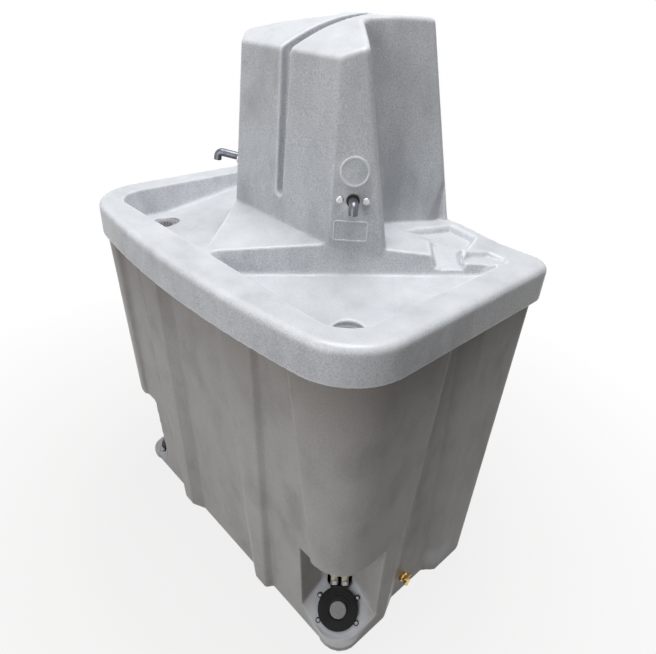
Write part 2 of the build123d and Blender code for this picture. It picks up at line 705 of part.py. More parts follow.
# Sink top: rim, two basins, soap dishes and tower in one thin shell
with BuildPart() as sink_top:
    add(top_solid(0))
    with BuildSketch(NOSE):
        with Locations((0, RING_UP)):
            Circle(RING_R)
            Circle(RING_R - RING_WIDTH, mode=Mode.SUBTRACT)
    extrude(amount=RING_HEIGHT, both=True)
    with BuildSketch(NOSE):
        with Locations((0, -PANEL_DOWN)):
            RectangleRounded(PANEL_WIDTH, PANEL_HEIGHT, 5)
    extrude(amount=-PANEL_DEPTH, mode=Mode.SUBTRACT)
    split(bisect_by=MIDDLE, keep=Keep.TOP)
    mirror(about=MIDDLE)
    add(top_solid(TOP_WALL), mode=Mode.SUBTRACT)
    with BuildSketch(NOSE.offset(TOP_WALL)) as nose_holes:
        Circle(SPOUT_R + SPOUT_HOLE_GAP)
        with Locations((-SPOUT_SCREW_SPREAD, 0), (SPOUT_SCREW_SPREAD, 0)):
            Circle(SPOUT_SCREW_R + THREAD_GAP)
    extrude(amount=-3 * TOP_WALL, mode=Mode.SUBTRACT)
    with BuildSketch(Plane.XY.offset(SUMP_Z + 5)) as drain_hole:
        with Locations((SUMP_X, SUMP_Y)):
            Circle(DRAIN_HOLE_R)
    extrude(amount=-5 - 2 * TOP_WALL, mode=Mode.SUBTRACT)
    split(bisect_by=MIDDLE, keep=Keep.TOP)
    mirror(about=MIDDLE)
    with BuildSketch(RIM_SCREW_PLANE):
        with Locations(*RIM_SCREW_SPOTS):
            Circle(RIM_SCREW_R + THREAD_GAP)
    extrude(amount=2 * TOP_WALL, mode=Mode.SUBTRACT)
    with BuildSketch(RIM_SCREW_PLANE):
        with Locations(*RIM_SCREW_SPOTS):
            Circle(RIM_SCREW_HEAD_R + THREAD_GAP)
    extrude(amount=RIM_SCREW_HEAD_R - RIM_SCREW_R, taper=45, mode=Mode.SUBTRACT)
    with BuildSketch(RIM_SCREW_PLANE):
        with Locations(*RIM_SCREW_SPOTS):
            Circle(RIM_SCREW_HEAD_R + THREAD_GAP)
    extrude(amount=-2 * RIM_SCREW_SUNK, mode=Mode.SUBTRACT)
keep("sink_top", sink_top.part)

# Tub: ribbed shell with a recess for a pump in each front corner
with BuildPart() as tub_shell:
    add(tub_solid(0))
    add(tub_solid(TUB_WALL), mode=Mode.SUBTRACT)
    with BuildSketch(SLOT):
        RectangleRounded(HOSE_SLOT_HEIGHT, HOSE_SLOT_WIDTH, 8)
    extrude(amount=2 * TUB_WALL, both=True, mode=Mode.SUBTRACT)
    with BuildSketch(PUMP):
        Circle(PUMP_BOWL_R + PUMP_BOWL_GAP)
        with Locations(*SCREW_SPOTS):
            Circle(PUMP_SCREW_R + THREAD_GAP)
    extrude(amount=-2 * TUB_WALL, mode=Mode.SUBTRACT)
    split(bisect_by=MIDDLE, keep=Keep.TOP)
    mirror(about=MIDDLE)
    with BuildSketch(COCK):
        Circle(COCK_SHANK_R + 3 * THREAD_GAP)
    extrude(amount=2 * TUB_WALL, both=True, mode=Mode.SUBTRACT)
    with BuildSketch(FILL):
        Circle(NECK_R + NECK_GAP)
    extrude(amount=2 * TUB_WALL, both=True, mode=Mode.SUBTRACT)
    with BuildSketch(RIM_SCREW_PLANE):
        with Locations(*RIM_SCREW_SPOTS):
            Circle(RIM_SCREW_R + THREAD_GAP)
    extrude(amount=RIM_SCREW_LENGTH + NECK_WALL, mode=Mode.SUBTRACT)
keep("tub_shell", tub_shell.part)


def pan_screw(plane, shank_r, head_r, head, length):
    """Pan head screw whose head stands on the plane and whose shank runs below it."""
    with BuildPart() as screw:
        with BuildSketch(plane):
            Circle(head_r)
        extrude(amount=head)
        fillet(screw.faces().sort_by(Axis(plane.origin, plane.z_dir))[-1].edges(), head * 0.6)
        with BuildSketch(plane.offset(head)):
            Rectangle(head_r * 1.1, head_r * 0.28)
            Rectangle(head_r * 0.28, head_r * 1.1)
        extrude(amount=-head * 0.5, mode=Mode.SUBTRACT)
        with BuildSketch(plane):
            Circle(shank_r)
        extrude(amount=-length)
    return screw.part


def group(parts):
    """One piece that holds several separate solids."""
    with BuildPart() as together:
        for part in parts:
            add(part)
    return together.part


def with_mirror(parts):
    """The given solids and their mirror images."""
    return parts + [mirror(part, about=MIDDLE, mode=Mode.PRIVATE) for part in parts]


def on_plane(plane, x, y, z):
    """Point at the given place of a plane's own frame."""
    return plane.from_local_coords((x, y, z))


def rim_screw(x):
    """Countersunk screw through the rear of the rim into the collar of the tub."""
    with BuildPart() as screw:
        with BuildSketch(RIM_SCREW_PLANE):
            with Locations((x, RIM_SCREW_Z)):
                Circle(RIM_SCREW_HEAD_R)
        extrude(amount=RIM_SCREW_HEAD_R - RIM_SCREW_R, taper=45)
        with BuildSketch(RIM_SCREW_PLANE):
            with Locations((x, RIM_SCREW_Z)):
                Circle(RIM_SCREW_R)
        extrude(amount=RIM_SCREW_LENGTH)
        with BuildSketch(RIM_SCREW_PLANE):
            with Locations((x, RIM_SCREW_Z)):
                Rectangle(RIM_SCREW_HEAD_R, RIM_SCREW_HEAD_R * 0.25)
                Rectangle(RIM_SCREW_HEAD_R * 0.25, RIM_SCREW_HEAD_R)
        extrude(amount=RIM_SCREW_R / 2, mode=Mode.SUBTRACT)
    return screw.part


keep("rim_screws", group([rim_screw(x) for x in RIM_SCREW_XS]))


def tank(half_x, front, rear, foot, top, inset):
    """Block of a moulded tank with round edges, drawn in by an inset."""
    with BuildPart() as block:
        with BuildSketch(Plane.XY.offset(foot + inset)):
            with Locations((0, (front + rear) / 2)):
                Rectangle(2 * (half_x - inset), rear - front - 2 * inset)
        extrude(amount=top - foot - 2 * inset)
        fillet(block.edges(), TANK_EDGE_R - inset)
    return block.part


GREY_SIZES = (GREY_HALF_X, GREY_FRONT_Y, GREY_REAR_Y, TUB_WALL + SEAT_GAP, GREY_TOP_Z)
FRESH_SIZES = (FRESH_HALF_X, FRESH_FRONT_Y, FRESH_REAR_Y, FRESH_FOOT_Z, FRESH_TOP_Z)

# Waste water tank with an inlet spigot for each basin and an outlet to the drain cock
with BuildPart() as grey_water_tank:
    add(tank(*GREY_SIZES, 0))
    with BuildSketch(Plane.XY.offset(GREY_TOP_Z - TANK_WALL)) as inlets:
        with Locations((INLET_X, INLET_Y), (-INLET_X, INLET_Y)):
            Circle(DRAIN_BARB_R)
    extrude(amount=TANK_WALL + INLET_HEIGHT)
    with BuildSketch(Plane.YZ.offset(GREY_HALF_X - TANK_WALL)):
        with Locations((COCK_Y, COCK_Z)):
            Circle(SPIGOT_R)
    extrude(amount=TANK_WALL + CONNECTOR_BARB_LENGTH)
    add(tank(*GREY_SIZES, TANK_WALL), mode=Mode.SUBTRACT)
    with BuildSketch(Plane.XY.offset(GREY_TOP_Z - 2 * TANK_WALL)):
        with Locations((INLET_X, INLET_Y), (-INLET_X, INLET_Y)):
            Circle(DRAIN_BARB_BORE_R)
    extrude(amount=3 * TANK_WALL + INLET_HEIGHT, mode=Mode.SUBTRACT)
    with BuildSketch(Plane.YZ.offset(GREY_HALF_X - 2 * TANK_WALL)):
        with Locations((COCK_Y, COCK_Z)):
            Circle(SPIGOT_BORE_R)
    extrude(amount=3 * TANK_WALL + CONNECTOR_BARB_LENGTH, mode=Mode.SUBTRACT)
keep("grey_water_tank", grey_water_tank.part)

# Fresh water tank with a hole for the fill neck and an outlet spigot for each pump
with BuildPart() as fresh_water_tank:
    add(tank(*FRESH_SIZES, 0))
    with BuildSketch(Plane.XY.offset(FRESH_FOOT_Z + TANK_WALL)):
        with Locations((OUTLET_X, OUTLET_Y), (-OUTLET_X, OUTLET_Y)):
            Circle(SPIGOT_R)
    extrude(amount=-TANK_WALL - OUTLET_LENGTH)
    add(tank(*FRESH_SIZES, TANK_WALL), mode=Mode.SUBTRACT)
    with BuildSketch(Plane.XY.offset(FRESH_FOOT_Z + 2 * TANK_WALL)):
        with Locations((OUTLET_X, OUTLET_Y), (-OUTLET_X, OUTLET_Y)):
            Circle(SPIGOT_BORE_R)
    extrude(amount=-3 * TANK_WALL - OUTLET_LENGTH, mode=Mode.SUBTRACT)
    with BuildSketch(FILL):
        Circle(NECK_R + NECK_GAP)
    extrude(amount=-(REAR_Y[1] - FRESH_REAR_Y + 2 * TANK_WALL), mode=Mode.SUBTRACT)
keep("fresh_water_tank", fresh_water_tank.part)

NECK_LENGTH = at_height(REAR_Y, FILL_Z) - REAR_PANEL_DEPTH - FRESH_REAR_Y + TANK_WALL

# Fill neck with its flange on the rear panel and its end in the fresh water tank
with BuildPart() as fill_neck:
    with BuildSketch(FILL.offset(SEAT_GAP)):
        Circle(NECK_FLANGE_R)
    extrude(amount=NECK_FLANGE_THICK)
    with BuildSketch(FILL.offset(SEAT_GAP + NECK_FLANGE_THICK)):
        Circle(NECK_THREAD_R)
    extrude(amount=NECK_THREAD_LENGTH)
    with BuildSketch(FILL.offset(SEAT_GAP)):
        Circle(NECK_R)
    extrude(amount=-NECK_LENGTH)
    with BuildSketch(FILL.offset(-NECK_LENGTH - 1)):
        Circle(NECK_BORE_R)
    extrude(amount=NECK_LENGTH + 40, mode=Mode.SUBTRACT)
keep("fill_neck", fill_neck.part)

# Large nut that holds the fill neck from inside the rear panel
with BuildPart() as fill_neck_nut:
    with BuildSketch(FILL.offset(-TUB_WALL - SEAT_GAP)):
        RegularPolygon(FILL_NUT_R, 8)
        Circle(NECK_R + THREAD_GAP, mode=Mode.SUBTRACT)
    extrude(amount=-FILL_NUT_THICK)
keep("fill_neck_nut", fill_neck_nut.part)

# Quarter turn cap over the fill neck, with grips round its edge
CAP_SKIRT = NECK_THREAD_LENGTH - 1.0
with BuildPart() as fill_cap:
    with BuildSketch(FILL.offset(SEAT_GAP + NECK_FLANGE_THICK + 1)):
        Circle(CAP_R)
        with PolarLocations(CAP_R + 1, CAP_GRIPS):
            Circle(2.4, mode=Mode.SUBTRACT)
    extrude(amount=CAP_SKIRT + CAP_TOP + CAP_GAP)
    with BuildSketch(FILL.offset(SEAT_GAP + NECK_FLANGE_THICK + 1)):
        Circle(NECK_THREAD_R + CAP_GAP)
    extrude(amount=CAP_SKIRT + CAP_GAP, mode=Mode.SUBTRACT)
    with BuildSketch(FILL.offset(SEAT_GAP + NECK_FLANGE_THICK + 1 + CAP_SKIRT + CAP_TOP + CAP_GAP)):
        Rectangle(2 * CAP_R - 16, 9)
    extrude(amount=3)
keep("fill_cap", fill_cap.part)

PUMP_AXIS = Axis(PUMP.origin, PUMP.z_dir)


def port_plane(x):
    """Plane at the end face of one pump port, facing up the slope."""
    return Plane(origin=on_plane(PUMP, x, PORT_BLOCK_Y, PORT_Z), x_dir=PUMP.x_dir, z_dir=PUMP.y_dir)


# Foot pump body: bowl sunk in the recess floor, flange, screw ears and two ports
with BuildPart() as pump_base:
    with BuildSketch(PUMP):
        Circle(PUMP_R)
    extrude(amount=PUMP_FLANGE)
    with BuildSketch(PUMP):
        with Locations(*SCREW_SPOTS):
            Circle(PUMP_EAR_R)
    extrude(amount=PUMP_EAR_THICK)
    with BuildSketch(PUMP.offset(-PUMP_BOWL_DEPTH)):
        Circle(PUMP_BOWL_R)
    extrude(amount=PUMP_BOWL_DEPTH)
    with BuildSketch(PUMP):
        with Locations((0, (COVER_STEPS[0][0] + 0.6 + PORT_BLOCK_Y) / 2)):
            Rectangle(2 * PORT_SPREAD + 2 * SPIGOT_R + 6, PORT_BLOCK_Y - COVER_STEPS[0][0] - 0.6)
    extrude(amount=PORT_Z + SPIGOT_R + 2)
    for x in (-PORT_SPREAD, PORT_SPREAD):
        with BuildSketch(port_plane(x)):
            Circle(SPIGOT_R)
        extrude(amount=PORT_END_Y - PORT_BLOCK_Y)
        with BuildSketch(port_plane(x).offset(PORT_END_Y - PORT_BLOCK_Y)):
            Circle(SPIGOT_BORE_R)
        extrude(amount=-(PORT_END_Y - PORT_BLOCK_Y) - 5, mode=Mode.SUBTRACT)
    with BuildSketch(PUMP.offset(PUMP_SEAT_Z)):
        Circle(PUMP_SEAT_R)
    extrude(amount=PUMP_FLANGE, mode=Mode.SUBTRACT)
    with BuildSketch(PUMP.offset(PUMP_BOWL_WALL - PUMP_BOWL_DEPTH)):
        Circle(PUMP_BOWL_R - PUMP_BOWL_WALL)
    extrude(amount=PUMP_BOWL_DEPTH, mode=Mode.SUBTRACT)
    with BuildSketch(PUMP):
        with Locations(*SCREW_SPOTS):
            Circle(PUMP_SCREW_R + THREAD_GAP)
    extrude(amount=PUMP_FLANGE + 1, mode=Mode.SUBTRACT)
keep_pair("pump_base", pump_base.part)

# Cover ring with concentric steps
with BuildPart() as pump_cover:
    level = PUMP_FLANGE
    for radius, height in COVER_STEPS:
        with BuildSketch(PUMP.offset(level)):
            Circle(radius)
            Circle(COVER_INNER_R, mode=Mode.SUBTRACT)
        extrude(amount=height)
        level = level + height
    chamfer(pump_cover.edges().filter_by(GeomType.CIRCLE).group_by(PUMP_AXIS)[-1], 0.6)
keep_pair("pump_cover", pump_cover.part)

# Rubber diaphragm clamped under the cover
with BuildPart() as pump_diaphragm:
    with BuildSketch(PUMP.offset(PUMP_SEAT_Z)):
        Circle(PUMP_SEAT_R - SEAT_GAP)
        Circle(BUTTON_R + DIAPHRAGM_GAP, mode=Mode.SUBTRACT)
    extrude(amount=PUMP_FLANGE - PUMP_SEAT_Z - SEAT_GAP)
    with BuildSketch(PUMP.offset(PUMP_FLANGE - SEAT_GAP)):
        Circle(COVER_INNER_R - SEAT_GAP)
        Circle(BUTTON_R + DIAPHRAGM_GAP, mode=Mode.SUBTRACT)
    extrude(amount=COVER_STEPS[0][1])
keep_pair("pump_diaphragm", pump_diaphragm.part)

# Button that the foot presses, with its stem
with BuildPart() as pump_button:
    with BuildSketch(PUMP.offset(BUTTON_FOOT)):
        Circle(BUTTON_R)
    extrude(amount=BUTTON_TOP - BUTTON_FOOT)
    fillet(pump_button.edges().group_by(PUMP_AXIS)[-1], BUTTON_EDGE_R)
    with BuildSketch(PUMP.offset(BUTTON_STEM_FOOT)):
        Circle(BUTTON_STEM_R)
    extrude(amount=BUTTON_FOOT - BUTTON_STEM_FOOT)
keep_pair("pump_button", pump_button.part)

SPRING_FOOT = PUMP_BOWL_WALL - PUMP_BOWL_DEPTH + SPRING_WIRE_R + 0.2
SPRING_HEIGHT = BUTTON_FOOT - SPRING_WIRE_R - 0.2 - SPRING_FOOT

# Return spring round the stem
with BuildPart() as pump_spring:
    with BuildLine() as coil:
        Helix(
            SPRING_PITCH,
            SPRING_HEIGHT,
            SPRING_R,
            center=PUMP.offset(SPRING_FOOT).origin,
            direction=PUMP.z_dir,
        )
    with BuildSketch(Plane(origin=coil.line @ 0, z_dir=coil.line % 0)):
        Circle(SPRING_WIRE_R)
    sweep(path=coil.line, is_frenet=True)
keep_pair("pump_spring", pump_spring.part)

pump_screws = []
for x, y in SCREW_SPOTS:
    seat = Plane(origin=on_plane(PUMP, x, y, PUMP_EAR_THICK), x_dir=PUMP.x_dir, z_dir=PUMP.z_dir)
    pump_screws.append(pan_screw(seat, PUMP_SCREW_R, PUMP_SCREW_HEAD_R, PUMP_SCREW_HEAD, PUMP_SCREW_LENGTH))
keep("pump_screws", group(with_mirror(pump_screws)))


def bend_radii(points):
    """Bend radius at each corner of a hose, from the shorter run beside it and the turn."""
    vectors = [Vector(*b) - Vector(*a) for a, b in zip(points, points[1:])]
    radii = []
    for a, b in zip(vectors, vectors[1:]):
        turn = radians(a.get_angle(b))
        radii.append(0.45 * min(a.length, b.length) / tan(turn / 2))
    return radii


def hose(name, points, outer_r, bore_r):
    """Hose along straight runs joined by arcs."""
    radii = bend_radii(points)
    with BuildPart() as part:
        with BuildLine() as path:
            FilletPolyline(*points, radius=radii)
        with BuildSketch(Plane(origin=path.line @ 0, z_dir=path.line % 0)):
            Circle(outer_r)
            Circle(bore_r, mode=Mode.SUBTRACT)
        sweep(path=path.line)
    section = pi * (outer_r**2 - bore_r**2)
    length = path.wires()[0].length
    print(name, "bends", [round(r) for r in radii], "length", round(length))
    print("volume over section times length", round(part.part.volume / (section * length), 4))
    return part.part


def clamp(origin, direction, side, hose_r):
    """Steel band clamp round a hose, its screw housing on the given side."""
    plane = Plane(origin=origin, x_dir=side, z_dir=direction)
    inner = hose_r + CLAMP_GAP
    with BuildPart() as band:
        with BuildSketch(plane.offset(-CLAMP_WIDTH / 2)):
            Circle(inner + CLAMP_THICK)
            with Locations((inner + 3, 0)):
                Rectangle(7, 9)
            Circle(inner, mode=Mode.SUBTRACT)
        extrude(amount=CLAMP_WIDTH)
    return band.part


STUB_Y = STUB_START_Y - PORT_BLOCK_Y
STUB_END = STUB_Y + STUB_LENGTH
HOSE_START = STUB_END + SEAT_GAP + CONNECTOR_HEX_LENGTH + SEAT_GAP

stubs = []
connectors = []
stub_clamps = []
for x in (-PORT_SPREAD, PORT_SPREAD):
    port = port_plane(x)
    with BuildPart() as stub:
        with BuildSketch(port.offset(STUB_Y)):
            Circle(HOSE_R)
            Circle(HOSE_BORE_R, mode=Mode.SUBTRACT)
        extrude(amount=STUB_LENGTH)
    stubs.append(stub.part)
    with BuildPart() as connector:
        with BuildSketch(port.offset(STUB_END + SEAT_GAP)):
            RegularPolygon(CONNECTOR_HEX_R, 6)
        extrude(amount=CONNECTOR_HEX_LENGTH)
        with BuildSketch(port.offset(PORT_END_Y - PORT_BLOCK_Y + 1)):
            Circle(SPIGOT_R)
        extrude(amount=HOSE_START + CONNECTOR_BARB_LENGTH - (PORT_END_Y - PORT_BLOCK_Y + 1))
        with BuildSketch(port):
            Circle(SPIGOT_BORE_R)
        extrude(amount=HOSE_START + CONNECTOR_BARB_LENGTH + 5, mode=Mode.SUBTRACT)
    connectors.append(connector.part)
    stub_clamps.append(clamp(on_plane(port, 0, 0, STUB_Y + 6), port.z_dir, PUMP.z_dir, HOSE_R))
keep_pair("pump_hose_stubs", group(stubs))
keep_pair("hose_connectors", group(connectors))

SUCTION_PORT = port_plane(PORT_SPREAD)
DELIVERY_PORT = port_plane(-PORT_SPREAD)
OUTLET_END = (OUTLET_X, OUTLET_Y, FRESH_FOOT_Z - 1.0)

suction_start = on_plane(SUCTION_PORT, 0, 0, HOSE_START)
suction_points = [
    tuple(suction_start),
    tuple(on_plane(SUCTION_PORT, 0, 0, HOSE_START + 52)),
    (OUTLET_X + 4, -62.0, 205.0),
    (OUTLET_X, OUTLET_Y, 274.0),
    OUTLET_END,
]
keep_pair("suction_hose", hose("suction hose", suction_points, HOSE_R, HOSE_BORE_R))

SPOUT_DIR = NOSE.z_dir
SPOUT_TUBE_END = NOSE.origin - SPOUT_DIR * SPOUT_INSIDE
SPOUT_BARB_END = SPOUT_TUBE_END - SPOUT_DIR * SPOUT_BARB_LENGTH
delivery_start = on_plane(DELIVERY_PORT, 0, 0, HOSE_START)
delivery_points = [
    tuple(delivery_start),
    tuple(on_plane(DELIVERY_PORT, 0, 0, HOSE_START + 55)),
    (300.0, -92.0, 230.0),
    (296.0, -90.0, 360.0),
    (296.0, -92.0, 490.0),
    (290.0, -90.0, 610.0),
    (262.0, -88.0, 712.0),
    (185.0, -84.0, 800.0),
    (110.0, -45.0, 825.0),
    (62.0, 30.0, 832.0),
    (60.0, 118.0, 878.0),
    tuple(SPOUT_TUBE_END - SPOUT_DIR * 130),
    tuple(SPOUT_TUBE_END - SPOUT_DIR * 1.0),
]
keep_pair("delivery_hose", hose("delivery hose", delivery_points, HOSE_R, HOSE_BORE_R))

# Spout: bent polished tube through the nose of the tower, with a reduced end for its hose
level_out = Vector(SPOUT_DIR.X, SPOUT_DIR.Y, 0).normalized()
spout_bend = NOSE.origin + SPOUT_DIR * SPOUT_STRAIGHT_OUT
spout_top = NOSE.origin + level_out * SPOUT_REACH + Vector(0, 0, SPOUT_RISE)
spout_tip = spout_top + level_out * 2 - Vector(0, 0, SPOUT_TIP_DROP)
with BuildPart() as spout:
    with BuildLine() as spout_path:
        FilletPolyline(SPOUT_TUBE_END, spout_bend, spout_top, spout_tip, radius=[80, SPOUT_BEND_R])
    with BuildSketch(Plane(origin=spout_path.line @ 0, z_dir=spout_path.line % 0)):
        Circle(SPOUT_R)
        Circle(SPOUT_BORE_R, mode=Mode.SUBTRACT)
    sweep(path=spout_path.line)
    with BuildSketch(Plane(origin=SPOUT_BARB_END, z_dir=SPOUT_DIR)):
        Circle(SPIGOT_R)
        Circle(SPIGOT_BORE_R, mode=Mode.SUBTRACT)
    extrude(amount=SPOUT_BARB_LENGTH)
    with BuildSketch(Plane(origin=SPOUT_TUBE_END, z_dir=SPOUT_DIR)):
        Circle(SPOUT_R)
        Circle(SPIGOT_BORE_R, mode=Mode.SUBTRACT)
    extrude(amount=2.0)
keep_pair("spout", spout.part)

# Bracket inside the nose, with a collar round the spout
with BuildPart() as spout_bracket:
    inner_face = NOSE.offset(-TOP_WALL - SEAT_GAP)
    with BuildSketch(inner_face):
        RectangleRounded(BRACKET_LENGTH, BRACKET_WIDTH, 6)
    extrude(amount=-BRACKET_THICK)
    with BuildSketch(inner_face.offset(-BRACKET_THICK)):
        Circle(BRACKET_COLLAR_R)
    extrude(amount=-BRACKET_COLLAR_LENGTH)
    with BuildSketch(inner_face):
        Circle(SPOUT_R + SPOUT_FIT)
        with Locations((-SPOUT_SCREW_SPREAD, 0), (SPOUT_SCREW_SPREAD, 0)):
            Circle(SPOUT_SCREW_R + THREAD_GAP)
    extrude(amount=-BRACKET_THICK - BRACKET_COLLAR_LENGTH - 1, mode=Mode.SUBTRACT)
keep_pair("spout_bracket", spout_bracket.part)

SPOUT_SCREW_LENGTH = TOP_WALL + BRACKET_THICK + SPOUT_NUT + 4
spout_screws = []
spout_nuts = []
for x in (-SPOUT_SCREW_SPREAD, SPOUT_SCREW_SPREAD):
    seat = Plane(origin=on_plane(NOSE, x, 0, SEAT_GAP), x_dir=NOSE.x_dir, z_dir=NOSE.z_dir)
    spout_screws.append(
        pan_screw(seat, SPOUT_SCREW_R, SPOUT_SCREW_HEAD_R, SPOUT_SCREW_HEAD, SPOUT_SCREW_LENGTH)
    )
    with BuildPart() as nut:
        with BuildSketch(seat.offset(-TOP_WALL - BRACKET_THICK - 3 * SEAT_GAP)):
            RegularPolygon(SPOUT_NUT_R, 6)
            Circle(SPOUT_SCREW_R + THREAD_GAP, mode=Mode.SUBTRACT)
        extrude(amount=-SPOUT_NUT)
    spout_nuts.append(nut.part)
keep("spout_screws", group(with_mirror(spout_screws)))
keep("spout_nuts", group(with_mirror(spout_nuts)))

SUMP = Plane(origin=(SUMP_X, SUMP_Y, SUMP_Z), x_dir=(1, 0, 0), z_dir=(0, 0, 1))

# Strainer with its threaded tail and hose barb
with BuildPart() as basin_strainer:
    with BuildSketch(SUMP.offset(SEAT_GAP)):
        Circle(STRAINER_R)
    extrude(amount=STRAINER_THICK)
    chamfer(basin_strainer.faces().sort_by(Axis.Z)[-1].edges(), 1)
    with BuildSketch(SUMP.offset(SEAT_GAP)):
        Circle(DRAIN_BODY_R)
    extrude(amount=-DRAIN_BODY_LENGTH)
    with BuildSketch(SUMP.offset(SEAT_GAP - DRAIN_BODY_LENGTH)):
        Circle(DRAIN_BARB_R)
    extrude(amount=-DRAIN_BARB_LENGTH)
    with BuildSketch(SUMP):
        Circle(DRAIN_BODY_BORE_R)
    extrude(amount=4 - DRAIN_BODY_LENGTH, mode=Mode.SUBTRACT)
    with BuildSketch(SUMP.offset(-DRAIN_BODY_LENGTH - DRAIN_BARB_LENGTH)):
        Circle(DRAIN_BARB_BORE_R)
    extrude(amount=DRAIN_BARB_LENGTH + 6, mode=Mode.SUBTRACT)
    with BuildSketch(SUMP.offset(-1)):
        Circle(STRAINER_HOLE_R)
        with PolarLocations(DRAIN_BODY_BORE_R * 0.45, 6):
            Circle(STRAINER_HOLE_R)
        with PolarLocations(DRAIN_BODY_BORE_R * 0.82, 12, start_angle=15):
            Circle(STRAINER_HOLE_R)
    extrude(amount=STRAINER_THICK + 3, mode=Mode.SUBTRACT)
keep_pair("basin_strainer", basin_strainer.part)

# Nut under the sump
with BuildPart() as drain_nut:
    with BuildSketch(SUMP.offset(-TOP_WALL - SEAT_GAP)):
        RegularPolygon(DRAIN_NUT_R, 6)
        Circle(DRAIN_BODY_R + THREAD_GAP, mode=Mode.SUBTRACT)
    extrude(amount=-DRAIN_NUT_HEIGHT)
keep_pair("drain_nut", drain_nut.part)

DRAIN_HOSE_TOP = SUMP_Z - DRAIN_BODY_LENGTH
drain_points = [
    (SUMP_X, SUMP_Y, DRAIN_HOSE_TOP),
    (SUMP_X, SUMP_Y, DRAIN_HOSE_TOP - 110),
    (SUMP_X - 22, SUMP_Y + 8, DRAIN_HOSE_TOP - 225),
    (INLET_X, INLET_Y, GREY_TOP_Z + 110),
    (INLET_X, INLET_Y, GREY_TOP_Z + 1),
]
keep_pair("drain_hose", hose("drain hose", drain_points, DRAIN_HOSE_R, DRAIN_HOSE_BORE_R))

hose_ends = [
    (on_plane(SUCTION_PORT, 0, 0, HOSE_START + 11), SUCTION_PORT.z_dir, PUMP.z_dir),
    (on_plane(DELIVERY_PORT, 0, 0, HOSE_START + 11), DELIVERY_PORT.z_dir, PUMP.z_dir),
    (Vector(OUTLET_X, OUTLET_Y, FRESH_FOOT_Z - 12), Vector(0, 0, 1), Vector(0, -1, 0)),
    (SPOUT_TUBE_END - SPOUT_DIR * 10, SPOUT_DIR, NOSE.y_dir),
]
small_clamps = stub_clamps + [clamp(*end, HOSE_R) for end in hose_ends]
keep("hose_clamps", group(with_mirror(small_clamps)))
drain_ends = [Vector(SUMP_X, SUMP_Y, DRAIN_HOSE_TOP - 14), Vector(INLET_X, INLET_Y, GREY_TOP_Z + 16)]
large_clamps = [clamp(end, Vector(0, 0, 1), Vector(-1, 0, 0), DRAIN_HOSE_R) for end in drain_ends]
keep("drain_hose_clamps", group(with_mirror(large_clamps)))

# Drain cock: threaded shank through the side panel, hexagon, body and outlet
COCK_OUT = Plane(origin=on_plane(COCK, 0, 0, SEAT_GAP), x_dir=COCK.x_dir, z_dir=COCK.z_dir)
cock_middle = COCK_OUT.offset(COCK_HEX_THICK + COCK_BODY_LENGTH * 0.6).origin
COCK_TURN = Plane(origin=cock_middle, x_dir=(1, 0, 0), z_dir=(0, 0, 1))
with BuildPart() as drain_cock_body:
    with BuildSketch(COCK_OUT):
        RegularPolygon(COCK_HEX_R, 6)
    extrude(amount=COCK_HEX_THICK)
    with BuildSketch(COCK_OUT.offset(COCK_HEX_THICK)):
        Circle(COCK_BODY_R)
    extrude(amount=COCK_BODY_LENGTH)
    fillet(drain_cock_body.faces().sort_by(Axis.X)[-1].edges(), 2)
    with BuildSketch(COCK_OUT):
        Circle(COCK_SHANK_R)
    extrude(amount=-COCK_SHANK_LENGTH)
    with BuildSketch(COCK_TURN):
        Circle(COCK_OUTLET_R)
    extrude(amount=-COCK_OUTLET_DROP)
    with BuildSketch(COCK_TURN):
        Circle(COCK_OUTLET_R)
    extrude(amount=COCK_BODY_R + 3)
    with BuildSketch(COCK_TURN.offset(-COCK_OUTLET_DROP)):
        Circle(COCK_OUTLET_R - 2)
    extrude(amount=COCK_OUTLET_DROP, mode=Mode.SUBTRACT)
    with BuildSketch(COCK_OUT.offset(-COCK_SHANK_LENGTH)):
        Circle(COCK_BORE_R)
    extrude(amount=COCK_SHANK_LENGTH + COCK_HEX_THICK + COCK_BODY_LENGTH * 0.6, mode=Mode.SUBTRACT)
    with BuildSketch(COCK_TURN.offset(COCK_BODY_R + 3)):
        Circle(COCK_STEM_R + KEY_GAP)
    extrude(amount=-3, mode=Mode.SUBTRACT)
keep("drain_cock_body", drain_cock_body.part)

# Key of the drain cock: short stem with a flat lever
with BuildPart() as drain_cock_key:
    with BuildSketch(COCK_TURN.offset(COCK_BODY_R + KEY_GAP)):
        Circle(COCK_STEM_R)
    extrude(amount=COCK_STEM_TOP - COCK_BODY_R)
    with BuildSketch(COCK_TURN.offset(COCK_STEM_TOP - KEY_THICK + 1)):
        SlotOverall(KEY_LENGTH, KEY_WIDTH, rotation=90)
    extrude(amount=KEY_THICK)
keep("drain_cock_key", drain_cock_key.part)

# Lock nut of the drain cock behind the side panel
with BuildPart() as drain_lock_nut:
    with BuildSketch(COCK.offset(-TUB_WALL - SEAT_GAP)):
        RegularPolygon(COCK_HEX_R, 6)
        Circle(COCK_SHANK_R + THREAD_GAP, mode=Mode.SUBTRACT)
    extrude(amount=-COCK_HEX_THICK)
keep("drain_lock_nut", drain_lock_nut.part)

